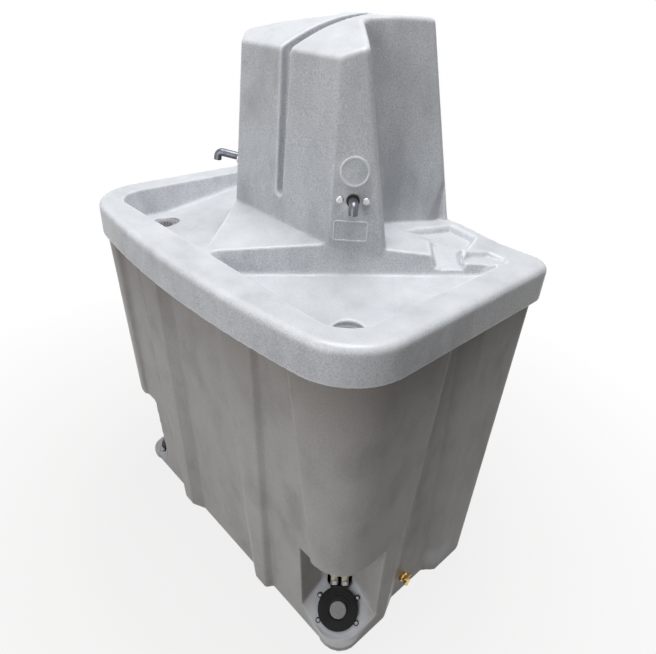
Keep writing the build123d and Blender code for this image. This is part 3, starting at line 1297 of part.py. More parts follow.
# Straight pipe from the waste water tank to the drain cock
PIPE_END_X = COCK_OUT.origin.X - COCK_SHANK_LENGTH
with BuildPart() as drain_pipe:
    with BuildSketch(Plane.YZ.offset(GREY_HALF_X + SEAT_GAP)):
        with Locations((COCK_Y, COCK_Z)):
            Circle(PIPE_R)
            Circle(SPIGOT_R + SEAT_GAP, mode=Mode.SUBTRACT)
    extrude(amount=PIPE_END_X - GREY_HALF_X - 2 * SEAT_GAP)
    with BuildSketch(Plane.YZ.offset(PIPE_END_X - SEAT_GAP)):
        with Locations((COCK_Y, COCK_Z)):
            Circle(PIPE_R)
            Circle(COCK_SHANK_R + THREAD_GAP, mode=Mode.SUBTRACT)
    extrude(amount=COCK_SHANK_LENGTH - TUB_WALL - COCK_HEX_THICK - 3 * SEAT_GAP)
keep("drain_pipe", drain_pipe.part)

for name, part in pieces.items():
    export_step(part, "parts/" + name + ".step")
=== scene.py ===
"""Looks of a freestanding hand wash station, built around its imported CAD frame."""

from __future__ import annotations

import logging
import math
from collections.abc import Sequence
from dataclasses import dataclass, field
from enum import Enum
from typing import Protocol

import bmesh
import bpy
import numpy as np
from mathutils import Matrix, Vector
from mathutils.bvhtree import BVHTree


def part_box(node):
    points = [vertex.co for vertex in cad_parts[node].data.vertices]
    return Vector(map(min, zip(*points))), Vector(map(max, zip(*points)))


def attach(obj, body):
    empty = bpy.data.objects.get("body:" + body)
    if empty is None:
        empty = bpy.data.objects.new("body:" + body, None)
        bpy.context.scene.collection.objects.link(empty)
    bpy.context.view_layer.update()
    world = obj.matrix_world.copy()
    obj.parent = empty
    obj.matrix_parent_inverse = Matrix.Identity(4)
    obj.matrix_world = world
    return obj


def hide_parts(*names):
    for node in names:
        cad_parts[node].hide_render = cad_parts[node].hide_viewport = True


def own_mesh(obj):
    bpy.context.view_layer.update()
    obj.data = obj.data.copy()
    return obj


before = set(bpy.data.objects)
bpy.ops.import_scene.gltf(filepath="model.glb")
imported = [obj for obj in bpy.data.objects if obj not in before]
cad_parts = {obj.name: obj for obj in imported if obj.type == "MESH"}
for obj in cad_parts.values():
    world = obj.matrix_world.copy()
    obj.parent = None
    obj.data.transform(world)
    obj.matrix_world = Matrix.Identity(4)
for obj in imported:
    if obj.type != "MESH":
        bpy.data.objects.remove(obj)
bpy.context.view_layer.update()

LOG = logging.getLogger("hand_wash_station")
STATION = "station"
MM = 0.001
Colour = tuple[float, float, float]
Point = tuple[float, float, float]
Spot = tuple[float, float]

WHITE: Colour = (1.0, 1.0, 1.0)

# The right foot pump: tilt and azimuth of its axis in degrees, and the middle of its floor in metres.
PUMP_TILT = 50.0
PUMP_AZIMUTH = -45.6
PUMP_SEAT: Point = (0.396, -0.165, 0.062)


class Side(Enum):
    """The two users' sides, with the sign of X."""

    RIGHT = 1
    LEFT = -1

    @property
    def word(self) -> str:
        """Prefix of the side's nodes."""
        return self.name.lower()

    def place(self, point: Vector) -> Vector:
        """Point of this side from the same point of the right side."""
        return Vector((point.x * self.value, point.y, point.z))


class Wire:
    """Socket of a shader graph that arithmetic can be written on."""

    def __init__(self, graph: Graph, socket: bpy.types.NodeSocket) -> None:
        """Wraps a socket.

        Args:
            graph: The graph that the socket belongs to.
            socket: The output socket.
        """
        self.graph = graph
        self.socket = socket

    def _maths(self, operation: str, first: Wire | float, second: Wire | float) -> Wire:
        """Adds one Math node.

        Args:
            operation: The node's operation.
            first: Its first value.
            second: Its second value.

        Returns:
            The node's output.
        """
        return self.graph.add("ShaderNodeMath", {"operation": operation}, {0: first, 1: second})

    def __add__(self, other: Wire | float) -> Wire:
        """Sum."""
        return self._maths("ADD", self, other)

    __radd__ = __add__

    def __sub__(self, other: Wire | float) -> Wire:
        """Difference."""
        return self._maths("SUBTRACT", self, other)

    def __rsub__(self, other: Wire | float) -> Wire:
        """Difference from a value on the left."""
        return self._maths("SUBTRACT", other, self)

    def __mul__(self, other: Wire | float) -> Wire:
        """Product."""
        return self._maths("MULTIPLY", self, other)

    __rmul__ = __mul__

    def __pow__(self, power: Wire | float) -> Wire:
        """Power."""
        return self._maths("POWER", self, power)

    def ramp(self, low: float, high: float) -> Wire:
        """Share of the way from one value to another, held between 0 and 1.

        Args:
            low: The value that gives 0.
            high: The value that gives 1.

        Returns:
            The share.
        """
        limits = {"From Min": low, "From Max": high, "To Min": 0.0, "To Max": 1.0}
        return self.graph.add("ShaderNodeMapRange", {"clamp": True}, {"Value": self, **limits})


class Graph:
    """Node tree of a material or of the world."""

    def __init__(self, owner: bpy.types.Material | bpy.types.World) -> None:
        """Empties the tree.

        Args:
            owner: The material or the world.
        """
        owner.use_nodes = True
        self.owner = owner
        self.tree = owner.node_tree
        self.tree.nodes.clear()

    def add(
        self,
        kind: str,
        settings: dict[str, object] | None = None,
        inputs: dict[str | int, object] | None = None,
        output: str | int = 0,
    ) -> Wire:
        """Adds a node.

        Args:
            kind: The node's type.
            settings: Its own settings, such as an operation, set first.
            inputs: Values or links of its sockets, by name or number.
            output: The output that is wanted.

        Returns:
            The wanted output.
        """
        node = self.tree.nodes.new(kind)
        for key, value in (settings or {}).items():
            setattr(node, key, value)
        for key, value in (inputs or {}).items():
            if isinstance(value, Wire):
                self.tree.links.new(value.socket, node.inputs[key])
            else:
                node.inputs[key].default_value = value
        return Wire(self, node.outputs[output])

    def place(self) -> Wire:
        """Place on the piece, in the frame's own metres."""
        return self.add("ShaderNodeTexCoord", output="Object")

    def height_of(self, vector: Wire) -> Wire:
        """Z of a vector."""
        return self.add("ShaderNodeSeparateXYZ", inputs={0: vector}, output="Z")

    def noise(self, scale: float, detail: float = 2.0, stretch: Point = (1, 1, 1)) -> Wire:
        """Noise in the frame's own metres.

        Args:
            scale: Waves per metre.
            detail: Octaves.
            stretch: Scale along each axis, for streaks.

        Returns:
            The noise, about 0 to 1.
        """
        place = self.add("ShaderNodeVectorMath", {"operation": "MULTIPLY"}, {0: self.place(), 1: stretch})
        inputs = {"Vector": place, "Scale": scale, "Detail": detail, "Roughness": 0.55}
        return self.add("ShaderNodeTexNoise", inputs=inputs, output="Fac")

    def flecks(self, scale: float, size: float) -> Wire:
        """Round spots scattered in the frame's own metres.

        Args:
            scale: Cells per metre.
            size: Radius of a spot, as a share of a cell.

        Returns:
            1 inside a spot and 0 outside.
        """
        inputs = {"Vector": self.place(), "Scale": scale, "Randomness": 1.0}
        distance = self.add("ShaderNodeTexVoronoi", inputs=inputs, output="Distance")
        return 1 - distance.ramp(size * 0.6, size)

    def mix(self, share: Wire, low: Wire | Colour, high: Wire | Colour) -> Wire:
        """Mixes two colours.

        Args:
            share: 0 gives the first colour and 1 the second.
            low: The first colour.
            high: The second colour.

        Returns:
            The mixed colour.
        """
        first, second = (c if isinstance(c, Wire) else (*c, 1.0) for c in (low, high))
        return self.add("ShaderNodeMix", {"data_type": "RGBA"}, {0: share, 6: first, 7: second}, output=2)

    def seen(self) -> Wire:
        """1 where the camera, a mirror or glass looks at the surface, and 0 where light falls on it."""
        rays = ("Is Camera Ray", "Is Glossy Ray", "Is Transmission Ray")
        camera, glossy, through = (self.add("ShaderNodeLightPath", output=ray) for ray in rays)
        return (camera + glossy + through).ramp(0, 1)

    def bump(self, height: Wire, strength: float, distance: float, under: Wire | None = None) -> Wire:
        """Normal from a height.

        Args:
            height: The height, about 0 to 1.
            strength: How strongly it shows.
            distance: Metres between heights 0 and 1.
            under: A normal to start from.

        Returns:
            The normal.
        """
        inputs = {"Height": height, "Strength": strength, "Distance": distance}
        if under is not None:
            inputs["Normal"] = under
        return self.add("ShaderNodeBump", inputs=inputs, output="Normal")

    def surface(self, **inputs: object) -> bpy.types.Material:
        """Closes the graph with one principled shader.

        Args:
            **inputs: Its inputs, with underscores for spaces.

        Returns:
            The finished material.
        """
        named = {key.replace("_", " "): value for key, value in inputs.items()}
        return self.close(self.add("ShaderNodeBsdfPrincipled", inputs=named))

    def close(self, shader: Wire) -> bpy.types.Material | bpy.types.World:
        """Ends the graph.

        Args:
            shader: The shader that is shown.

        Returns:
            The finished material or world.
        """
        kind = "World" if isinstance(self.owner, bpy.types.World) else "Material"
        output = self.tree.nodes.new("ShaderNodeOutput" + kind)
        self.tree.links.new(shader.socket, output.inputs["Surface"])
        return self.owner


@dataclass(frozen=True)
class MouldedPlastic:
    """Rotationally moulded plastic with a granite fleck. Scales are in waves or cells per metre."""

    name: str
    colour: Colour
    light: Colour
    dark: Colour
    roughness: float = 0.4
    gloss: float = 0.08
    coat: float = 0.35
    coat_roughness: float = 0.14
    blotch: float = 0.3
    blotch_scale: float = 15.0
    grain: float = 0.5
    grain_scale: float = 330.0
    grain_lying: float = 0.35
    fleck_scale: float = 190.0
    fleck_size: float = 0.26
    smudge: float = 0.4
    smudge_scale: float = 11.0
    smudge_lying: float = 0.3
    # Strength of the painted highlight along convex edges.
    edge: float = 0.5
    peel_depth: float = 0.35 * MM
    wave_depth: float = 2.5 * MM
    # Painted shade under the rim: a dark warm colour mixed in more strongly towards the top of the tub.
    stain: float = 0.0
    stain_colour: Colour = (0.13, 0.105, 0.09)
    stain_foot: float = 0.5
    stain_head: float = 0.86
    # Painted light: a pale bluish patch on the floor round each foot pump, where the recess looks lit.
    recess_light: Colour | None = None
    recess_light_share: float = 0.75
    recess_light_r: float = 0.085

    def _speckled(self, graph: Graph, blotches: Wire, upward: Wire) -> Wire:
        """Base colour with blotches, grain and flecks, the grain weaker on faces that lie flat.

        Args:
            graph: The graph.
            blotches: Large soft noise.
            upward: 1 on faces that look up, and 0 on upright ones.

        Returns:
            The colour.
        """
        body = graph.mix(blotches.ramp(0.5, 0.72) * self.blotch, self.colour, self.light)
        body = graph.mix((1 - blotches.ramp(0.3, 0.48)) * self.blotch, body, self.dark)
        grain = graph.noise(self.grain_scale, 4.0)
        strength = (1 - upward * (1 - self.grain_lying)) * self.grain
        body = graph.mix(grain.ramp(0.52, 0.66) * strength, body, self.light)
        body = graph.mix((1 - grain.ramp(0.34, 0.48)) * strength, body, self.dark)
        patches = graph.noise(9.0, 3.0).ramp(0.42, 0.62)
        flecks = graph.flecks(self.fleck_scale, self.fleck_size) * patches
        return graph.mix(flecks * strength, body, self.dark)

    def _rim_shaded(self, graph: Graph, body: Wire, blotches: Wire) -> Wire:
        """Colour with painted shade under the rim: it darkens, with a warm tint for reflected light, towards
        the top edge.

        Args:
            graph: The graph.
            body: The colour so far.
            blotches: Large soft noise.

        Returns:
            The colour.
        """
        rise = graph.height_of(graph.place()).ramp(self.stain_foot, self.stain_head)
        return graph.mix(rise ** 2 * self.stain * (blotches * 0.6 + 0.6), body, self.stain_colour)

    def _recess_lit(self, graph: Graph, body: Wire) -> Wire:
        """Colour with a painted pool of light, pale and bluish, on the floor round each foot pump, and its
        mirror image at the rear.

        Args:
            graph: The graph.
            body: The colour so far.

        Returns:
            The colour.
        """
        corner = tuple(abs(value) for value in PUMP_SEAT)
        folded = graph.add("ShaderNodeVectorMath", {"operation": "ABSOLUTE"}, {0: graph.place()})
        apart = graph.add("ShaderNodeVectorMath", {"operation": "DISTANCE"}, {0: folded, 1: corner}, "Value")
        near = 1 - apart.ramp(self.recess_light_r * 0.75, self.recess_light_r)
        return graph.mix(near * self.recess_light_share, body, self.recess_light)

    def material(self) -> bpy.types.Material:
        """Builds the material: speckle, dark smudges, painted shade under the rim, painted light round the
        pumps, painted highlights on edges and a wavy skin.
        """
        graph = Graph(bpy.data.materials.new(self.name))
        normal = graph.add("ShaderNodeNewGeometry", output="Normal")
        upward = graph.height_of(normal).ramp(0.45, 0.9)
        blotches = graph.noise(self.blotch_scale, 8.0, (1.0, 1.0, 0.55))
        smudges = graph.noise(self.smudge_scale, 9.0, (1.0, 1.0, 0.6)).ramp(0.5, 0.72)
        body = self._speckled(graph, blotches, upward)
        strength = (1 - upward * (1 - self.smudge_lying)) * self.smudge
        body = graph.mix(smudges * strength, body, self.dark)
        # Painted shade under the rim of the tub.
        if self.stain:
            body = self._rim_shaded(graph, body, blotches)
        # Painted light on the floor round each foot pump.
        if self.recess_light:
            body = self._recess_lit(graph, body)
        # Painted highlight: convex edges, found by pointiness, are lightened towards the light colour.
        edge = graph.add("ShaderNodeNewGeometry", output="Pointiness").ramp(0.503, 0.545)
        body = graph.mix(edge * self.edge, body, self.light)
        sheen = self.roughness + blotches * 0.14 - 0.07 + smudges * 0.1
        peel = graph.bump(graph.noise(260.0, 3.0), 0.22, self.peel_depth)
        waves = graph.bump(graph.noise(15.0, 2.0), 0.25, self.wave_depth, peel)
        return graph.surface(
            Base_Color=body, Roughness=sheen, Normal=waves, Specular_IOR_Level=self.gloss,
            Coat_Weight=self.coat, Coat_Roughness=self.coat_roughness,
        )


@dataclass(frozen=True)
class PlainPlastic:
    """Even moulded plastic with a fine texture."""

    name: str
    colour: Colour
    tone: Colour
    roughness: float = 0.5
    gloss: float = 0.5
    texture: float = 0.3
    texture_depth: float = 0.12 * MM

    def material(self) -> bpy.types.Material:
        """Builds the material: soft tone changes and a fine moulded texture."""
        graph = Graph(bpy.data.materials.new(self.name))
        body = graph.mix(graph.noise(25.0, 4.0).ramp(0.35, 0.7), self.colour, self.tone)
        rough = self.roughness + graph.noise(60.0, 3.0) * 0.14 - 0.07
        normal = graph.bump(graph.noise(1400.0, 2.0), self.texture, self.texture_depth)
        return graph.surface(
            Base_Color=body, Roughness=rough, Normal=normal, Specular_IOR_Level=self.gloss
        )


@dataclass(frozen=True)
class Metal:
    """Bare metal with faint scratches and a little dulling."""

    name: str
    colour: Colour
    dull: Colour
    roughness: float = 0.22
    scratch_depth: float = 0.05 * MM

    def material(self) -> bpy.types.Material:
        """Builds the material: dull patches, fine scratches and a small waviness."""
        graph = Graph(bpy.data.materials.new(self.name))
        patches = graph.noise(45.0, 5.0).ramp(0.45, 0.75)
        body = graph.mix(patches * 0.6, self.colour, self.dull)
        scratches = graph.noise(900.0, 2.0)
        rough = self.roughness + patches * 0.12 + scratches.ramp(0.5, 0.7) * 0.08
        normal = graph.bump(scratches, 0.12, self.scratch_depth)
        return graph.surface(Base_Color=body, Metallic=1.0, Roughness=rough, Normal=normal)


@dataclass(frozen=True)
class Rubber:
    """Black or grey rubber with a dusty bloom."""

    name: str
    colour: Colour
    dust: Colour
    roughness: float = 0.62
    skin_depth: float = 0.1 * MM

    def material(self) -> bpy.types.Material:
        """Builds the material: bloom in soft patches and a fine skin."""
        graph = Graph(bpy.data.materials.new(self.name))
        bloom = graph.noise(60.0, 5.0).ramp(0.5, 0.75)
        body = graph.mix(bloom * 0.5, self.colour, self.dust)
        rough = self.roughness + bloom * 0.15
        normal = graph.bump(graph.noise(900.0, 2.0), 0.3, self.skin_depth)
        return graph.surface(Base_Color=body, Roughness=rough, Normal=normal)


class Finishes:
    """Every finish of the station, made once."""

    def __init__(self) -> None:
        """Builds the materials."""
        self.top = MouldedPlastic(
            "top_plastic", (0.55, 0.57, 0.6), (0.74, 0.755, 0.78), (0.31, 0.325, 0.352),
            smudge=0.55, edge=0.85,
        ).material()
        self.tub = MouldedPlastic(
            "tub_plastic", (0.41, 0.402, 0.397), (0.53, 0.52, 0.515), (0.23, 0.225, 0.22),
            roughness=0.36, blotch=0.3, grain=0.25, smudge=0.4, edge=0.5, gloss=0.05, coat=0.14,
            # The tub gets painted shade under the rim and a painted pool of light round each foot pump.
            stain=0.72, recess_light=(0.62, 0.64, 0.69),
        ).material()
        self.black = PlainPlastic(
            "black_plastic", (0.009, 0.009, 0.01), (0.018, 0.018, 0.019), texture=0.6, gloss=0.16
        ).material()
        self.cream = PlainPlastic(
            "cream_plastic", (0.72, 0.66, 0.5), (0.62, 0.56, 0.42), roughness=0.38
        ).material()
        self.tank = PlainPlastic(
            "tank_plastic", (0.62, 0.64, 0.63), (0.7, 0.72, 0.71), roughness=0.45
        ).material()
        self.button = MouldedPlastic(
            "button_plastic", (0.36, 0.36, 0.36), (0.6, 0.6, 0.6), (0.14, 0.14, 0.14),
            roughness=0.55, grain=0.9, grain_scale=700.0, edge=0.2,
        ).material()
        self.rubber = Rubber("black_rubber", (0.014, 0.014, 0.014), (0.05, 0.048, 0.045)).material()
        self.hose = Rubber(
            "hose_rubber", (0.016, 0.016, 0.017), (0.04, 0.04, 0.04), roughness=0.42
        ).material()
        self.drain_hose = PlainPlastic(
            "drain_hose_plastic", (0.34, 0.35, 0.35), (0.42, 0.43, 0.43), roughness=0.4
        ).material()
        self.polished = Metal(
            "polished_steel", (0.13, 0.135, 0.155), (0.07, 0.075, 0.09), roughness=0.34
        ).material()
        self.steel = Metal(
            "stainless_steel", (0.6, 0.6, 0.61), (0.42, 0.42, 0.42), roughness=0.26
        ).material()
        self.dull_steel = Metal(
            "dull_steel", (0.3, 0.3, 0.31), (0.2, 0.2, 0.2), roughness=0.5
        ).material()
        self.brass = Metal(
            "brass", (0.76, 0.52, 0.2), (0.45, 0.3, 0.12), roughness=0.2
        ).material()


def dress(node: str, finish: bpy.types.Material) -> None:
    """Gives a CAD node its finish.

    Args:
        node: The node's name.
        finish: The material.
    """
    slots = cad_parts[node].material_slots
    if slots:
        for slot in slots:
            slot.material = finish
    else:
        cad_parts[node].data.materials.append(finish)
    LOG.info("dressed %s in %s", node, finish.name)


def new_object(name: str, mesh: bpy.types.Mesh) -> bpy.types.Object:
    """Puts a mesh in the scene.

    Args:
        name: Name of the object.
        mesh: Its mesh.

    Returns:
        The object.
    """
    piece = bpy.data.objects.new(name, mesh)
    bpy.context.scene.collection.objects.link(piece)
    return piece


def settle(piece: bpy.types.Object) -> None:
    """Applies every modifier of a piece.

    Args:
        piece: The object.
    """
    bpy.context.view_layer.update()
    graph = bpy.context.evaluated_depsgraph_get()
    mesh = bpy.data.meshes.new_from_object(piece.evaluated_get(graph))
    piece.modifiers.clear()
    piece.data = mesh


def hold(piece: bpy.types.Object, finish: bpy.types.Material) -> None:
    """Dresses a new piece and lets it ride on the station.

    Args:
        piece: The object.
        finish: The material.
    """
    piece.data.materials.clear()
    piece.data.materials.append(finish)
    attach(piece, STATION)
    LOG.info("built %s, %d faces", piece.name, len(piece.data.polygons))


def matrix_of(across: Vector, up: Vector, out: Vector, origin: Vector) -> Matrix:
    """Matrix with three axes and an origin as its columns.

    Args:
        across: Its X axis.
        up: Its Y axis.
        out: Its Z axis.
        origin: Its origin.

    Returns:
        The matrix.
    """
    matrix = Matrix.Identity(4)
    for i, column in enumerate((across, up, out, origin)):
        for j, value in enumerate(column):
            matrix[j][i] = value
    return matrix


def pump_frame(side: Side) -> Matrix:
    """Matrix of the floor under a pump, with Z out of it and Y up the slope.

    Args:
        side: The side of the station.

    Returns:
        The matrix.
    """
    tilt, azimuth = math.radians(PUMP_TILT), math.radians(PUMP_AZIMUTH)
    axis = Vector((math.cos(azimuth) * math.cos(tilt), math.sin(azimuth) * math.cos(tilt), math.sin(tilt)))
    across = Vector((-math.sin(azimuth), math.cos(azimuth), 0))
    columns = (across, axis.cross(across), axis, Vector(PUMP_SEAT))
    return matrix_of(*(side.place(column) for column in columns))


def smooth(share: np.ndarray) -> np.ndarray:
    """Soft step from 0 to 1 as the share goes from 0 to 1."""
    share = np.clip(share, 0, 1)
    return share * share * (3 - 2 * share)


def lower_of(first: np.ndarray, second: np.ndarray, blend: float) -> np.ndarray:
    """Lower of two heights, with a round edge where they cross.

    Args:
        first: One height for each point.
        second: The other.
        blend: How wide the rounding is.

    Returns:
        The heights.
    """
    near = np.clip(1 - np.abs(first - second) / blend, 0, 1)
    return np.minimum(first, second) - near * near * blend / 4


def depth_in(outline: Sequence[Spot], x: np.ndarray, y: np.ndarray) -> np.ndarray:
    """How far points lie inside an anticlockwise outline without hollows.

    Args:
        outline: Its corners.
        x: X of each point.
        y: Y of each point.

    Returns:
        The distances, below 0 outside.
    """
    inside = np.full(len(x), np.inf)
    for (ax, ay), (bx, by) in zip(outline, [*outline[1:], outline[0]]):
        length = math.hypot(bx - ax, by - ay)
        inside = np.minimum(inside, ((bx - ax) * (y - ay) - (by - ay) * (x - ax)) / length)
    return inside


class Mould(Protocol):
    """Something that presses a shape into the points of a shell."""

    def press(self, points: np.ndarray, mesh: bpy.types.Mesh) -> None:
        """Moves the points.

        Args:
            points: Places, one row each, changed here.
            mesh: The shell's mesh before the change.
        """


@dataclass(frozen=True)
class SoapCorner:
    """Soap dish, its chute into the basin and the ledge beside it, on both sides of the sink top.

    Places are those of the right side, seen from above. The dish, the chute and the ledge are hollows
    with sloping sides. Behind the basin's rear wall the skin is also raised where it lies lower.
    """

    dish: tuple[Spot, ...] = (
        (0.198, 0.150), (0.282, 0.156), (0.322, 0.205), (0.302, 0.266), (0.242, 0.266),
    )
    dish_depth: float = 14.5 * MM
    dish_front: float = 0.148
    dish_run: float = 0.05
    ledge: tuple[Spot, ...] = (
        (0.352, 0.150), (0.412, 0.222), (0.404, 0.241), (0.366, 0.234), (0.346, 0.196),
    )
    ledge_height: float = 0.8945
    deck_height: float = 0.9
    deck_rise: float = 16 * MM
    deck_outer: float = 0.405
    deck_run: float = 0.16
    wall_start: Spot = (0.322, 0.125)
    wall_angle: float = 48.4
    wall_slope: float = 3.487
    chute_middle: float = 20 * MM
    chute_half: float = 23 * MM
    chute_flare: float = 8 * MM
    flare_back: float = 12 * MM
    flare_run: float = 20 * MM
    chute_foot: float = 0.882
    chute_slope: float = 0.21
    chute_end: float = 0.078
    chute_front: float = 26 * MM
    side_slope: float = 1.7
    edge: float = 5 * MM
    low: Spot = (0.188, 0.098)
    high: Spot = (0.425, 0.288)
    border: float = 6 * MM
    fill_start: float = 1 * MM
    fill_run: float = 6 * MM
    fill_stop: float = 0.1
    fill_fade: float = 12 * MM
    foot: float = 0.862
    wall: float = 5.6 * MM

    def _along(self, x: np.ndarray, y: np.ndarray) -> tuple[np.ndarray, np.ndarray]:
        """Places along the basin's rear wall and away from it.

        Args:
            x: X of each point, to the right.
            y: Y of each point.

        Returns:
            The distance along the wall and the distance behind its top edge.
        """
        angle = math.radians(self.wall_angle)
        dx, dy = x - self.wall_start[0], y - self.wall_start[1]
        across, up = math.cos(angle), math.sin(angle)
        return dx * across + dy * up, dy * across - dx * up

    def _carved(self, x: np.ndarray, y: np.ndarray, deck: np.ndarray) -> np.ndarray:
        """Height of the three hollows, far up where there is none.

        Args:
            x: X of each point, to the right.
            y: Y of each point.
            deck: Height of the deck there.

        Returns:
            The heights.
        """
        run, behind = self._along(x, y)
        floor = deck - self.dish_depth * smooth((y - self.dish_front) / self.dish_run)
        dish = floor + self.side_slope * np.maximum(0, -depth_in(self.dish, x, y))
        half = self.chute_half + self.chute_flare * smooth((self.flare_back - behind) / self.flare_run)
        chute = self.chute_foot + self.chute_slope * behind
        chute = chute + self.side_slope * np.maximum(0, np.abs(run - self.chute_middle) - half)
        chute = chute + self.side_slope * np.maximum(0, behind - self.chute_end)
        chute = chute + self.side_slope * np.maximum(0, -behind - self.chute_front)
        ledge = self.ledge_height + self.side_slope * np.maximum(0, -depth_in(self.ledge, x, y))
        return lower_of(lower_of(dish, chute, self.edge), ledge, self.edge)

    def press(self, points: np.ndarray, mesh: bpy.types.Mesh) -> None:
        """Sets the skin to the smooth heights and keeps the inner skin under it.

        Args:
            points: Places, one row each, changed here.
            mesh: The shell's mesh before the change.
        """
        x, y, z = np.abs(points[:, 0]), points[:, 1], points[:, 2]
        sides = (x - self.low[0], self.high[0] - x, y - self.low[1], self.high[1] - y)
        rim = np.minimum.reduce(sides)
        chosen = np.nonzero((rim > 0) & (z > self.foot))[0]
        outer = uncovered(mesh, points, chosen)
        x, y, z = x[chosen], y[chosen], z[chosen]
        deck = self.deck_height + self.deck_rise * np.clip((self.deck_outer - x) / self.deck_run, 0, 1)
        run, behind = self._along(x, y)
        carved = self._carved(x, y, deck)
        plain = lower_of(deck, self.deck_height + self.wall_slope * behind, self.edge)
        level = lower_of(plain, carved, self.edge)
        share = smooth(rim[chosen] / self.border)
        filled = smooth((behind - self.fill_start) / self.fill_run)
        filled = filled * smooth((self.fill_stop - run) / self.fill_fade)
        skin = np.minimum(z, carved) * (1 - filled) + level * filled
        inner = np.minimum(z, np.where(behind > 0, level, carved) - self.wall)
        points[chosen, 2] = z + (np.where(outer, skin, inner) - z) * share


def uncovered(mesh: bpy.types.Mesh, points: np.ndarray, chosen: np.ndarray) -> np.ndarray:
    """Which points lie on the upper skin, with nothing above them.

    Args:
        mesh: The shell's mesh.
        points: Its points.
        chosen: Numbers of the points asked about.

    Returns:
        True for each chosen point that the sky sees.
    """
    clear, reach = 1.2 * MM, 0.1
    normals = np.empty(len(points) * 3)
    mesh.vertices.foreach_get("normal", normals)
    normals = normals.reshape(-1, 3)
    near = set(chosen.tolist())
    faces = [tuple(p.vertices) for p in mesh.polygons if p.vertices[0] in near]
    tree = BVHTree.FromPolygons([Vector(p) for p in points], faces)
    up = Vector((0, 0, 1))
    starts = points[chosen] + normals[chosen] * clear
    return np.array([tree.ray_cast(Vector(start), up, reach)[0] is None for start in starts])


@dataclass(frozen=True)
class RecessLip:
    """Raised round lip below each foot pump, where its mounting floor meets the corner of the tub."""

    swell: float = 5.5 * MM
    width: float = 6 * MM
    fall: float = 14 * MM
    round_r: float = 0.061
    slant: float = 40.0
    reach: float = 16 * MM
    far: float = 0.13

    def press(self, points: np.ndarray, mesh: bpy.types.Mesh) -> None:
        """Swells the floor outside a curve round the pump.

        Args:
            points: Places, one row each, changed here.
            mesh: The shell's mesh before the change; not used.
        """
        slant = math.radians(self.slant)
        for side in Side:
            place = pump_frame(side)
            local = (points - np.array(place.translation)) @ np.array(place.to_3x3())
            x, y, z = local[:, 0], local[:, 1], local[:, 2]
            beyond = -y * math.cos(slant) + np.abs(x) * math.sin(slant) - self.round_r
            round_part = np.hypot(x, y) - self.round_r
            inside = np.abs(x) < -y * math.tan(slant)
            beyond = np.where(inside, round_part, beyond)
            crest = smooth(beyond / self.width) * smooth(1 - (beyond - self.width) / self.fall)
            share = crest * smooth(1 - np.abs(z) / self.reach)
            share = share * (y < 0) * (np.hypot(x, y) < self.far)
            points += np.outer(share * self.swell, np.array(place.to_3x3().col[2]))


@dataclass
class SoftShell:
    """Thin moulded shell whose edges are rounded as a mould leaves them."""

    node: str
    slot: str
    passes: int
    factor: float = 0.5
    voxel: float = 3.0 * MM
    weld: float = 0.001 * MM
    most_faces: int = 190_000
    still: list[tuple[Vector, float]] = field(default_factory=list)
    moulds: tuple[Mould, ...] = ()

    def _shape(self, piece: bpy.types.Object) -> None:
        """Presses the moulds in, and writes how much each point may move: nothing near the small holes.

        Args:
            piece: The object.
        """
        points = np.empty(len(piece.data.vertices) * 3)
        piece.data.vertices.foreach_get("co", points)
        points = points.reshape(-1, 3)
        for mould in self.moulds:
            mould.press(points, piece.data)
        piece.data.vertices.foreach_set("co", points.ravel())
        free = np.ones(len(points))
        for centre, radius in self.still:
            far = np.linalg.norm(points - np.array(centre), axis=1) / radius
            free = np.minimum(free, np.clip(far * 2 - 1, 0, 1))
        group = piece.vertex_groups.new(name="free")
        levels = 10
        for level in range(levels + 1):
            chosen = np.nonzero(np.rint(free * levels) == level)[0]
            group.add(chosen.tolist(), level / levels, "REPLACE")

    def build(self, finish: bpy.types.Material) -> None:
        """Makes the softened shell and lets it stand for its node.

        Args:
            finish: The material.
        """
        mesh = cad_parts[self.node].data.copy()
        work = bmesh.new()
        work.from_mesh(mesh)
        bmesh.ops.remove_doubles(work, verts=work.verts, dist=self.weld)
        work.to_mesh(mesh)
        work.free()
        piece = new_object(self.node + "_skin", mesh)
        skin = piece.modifiers.new("Skin", "REMESH")
        skin.mode = "VOXEL"
        skin.voxel_size = self.voxel * 1
        settle(piece)
        self._shape(piece)
        soft = piece.modifiers.new("Soft", "SMOOTH")
        soft.factor = self.factor
        soft.iterations = self.passes
        soft.vertex_group = "free"
        thin = piece.modifiers.new("Thin", "DECIMATE")
        thin.ratio = min(1.0, self.most_faces / (2 * len(piece.data.polygons)))
        settle(piece)
        piece.data.shade_smooth()
        hold(piece, finish)
        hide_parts(self.node)


def tube_faces(work: bmesh.types.BMesh, rings: list[list[bmesh.types.BMVert]]) -> None:
    """Joins rings of points, in a circle, into closed faces.

    Args:
        work: The mesh that holds the points.
        rings: As many points in each.
    """
    count = len(rings[0])
    for here, there in zip(rings, rings[1:] + rings[:1]):
        for i in range(count):
            j = (i + 1) % count
            work.faces.new((here[i], there[i], there[j], here[j]))
    bmesh.ops.recalc_face_normals(work, faces=work.faces)


def finished(name: str, work: bmesh.types.BMesh) -> bpy.types.Object:
    """Smooth object from the mesh that was worked on.

    Args:
        name: Name of the object.
        work: The mesh, which ends here.

    Returns:
        The object.
    """
    mesh = bpy.data.meshes.new(name)
    work.to_mesh(mesh)
    work.free()
    mesh.shade_smooth()
    return new_object(name, mesh)


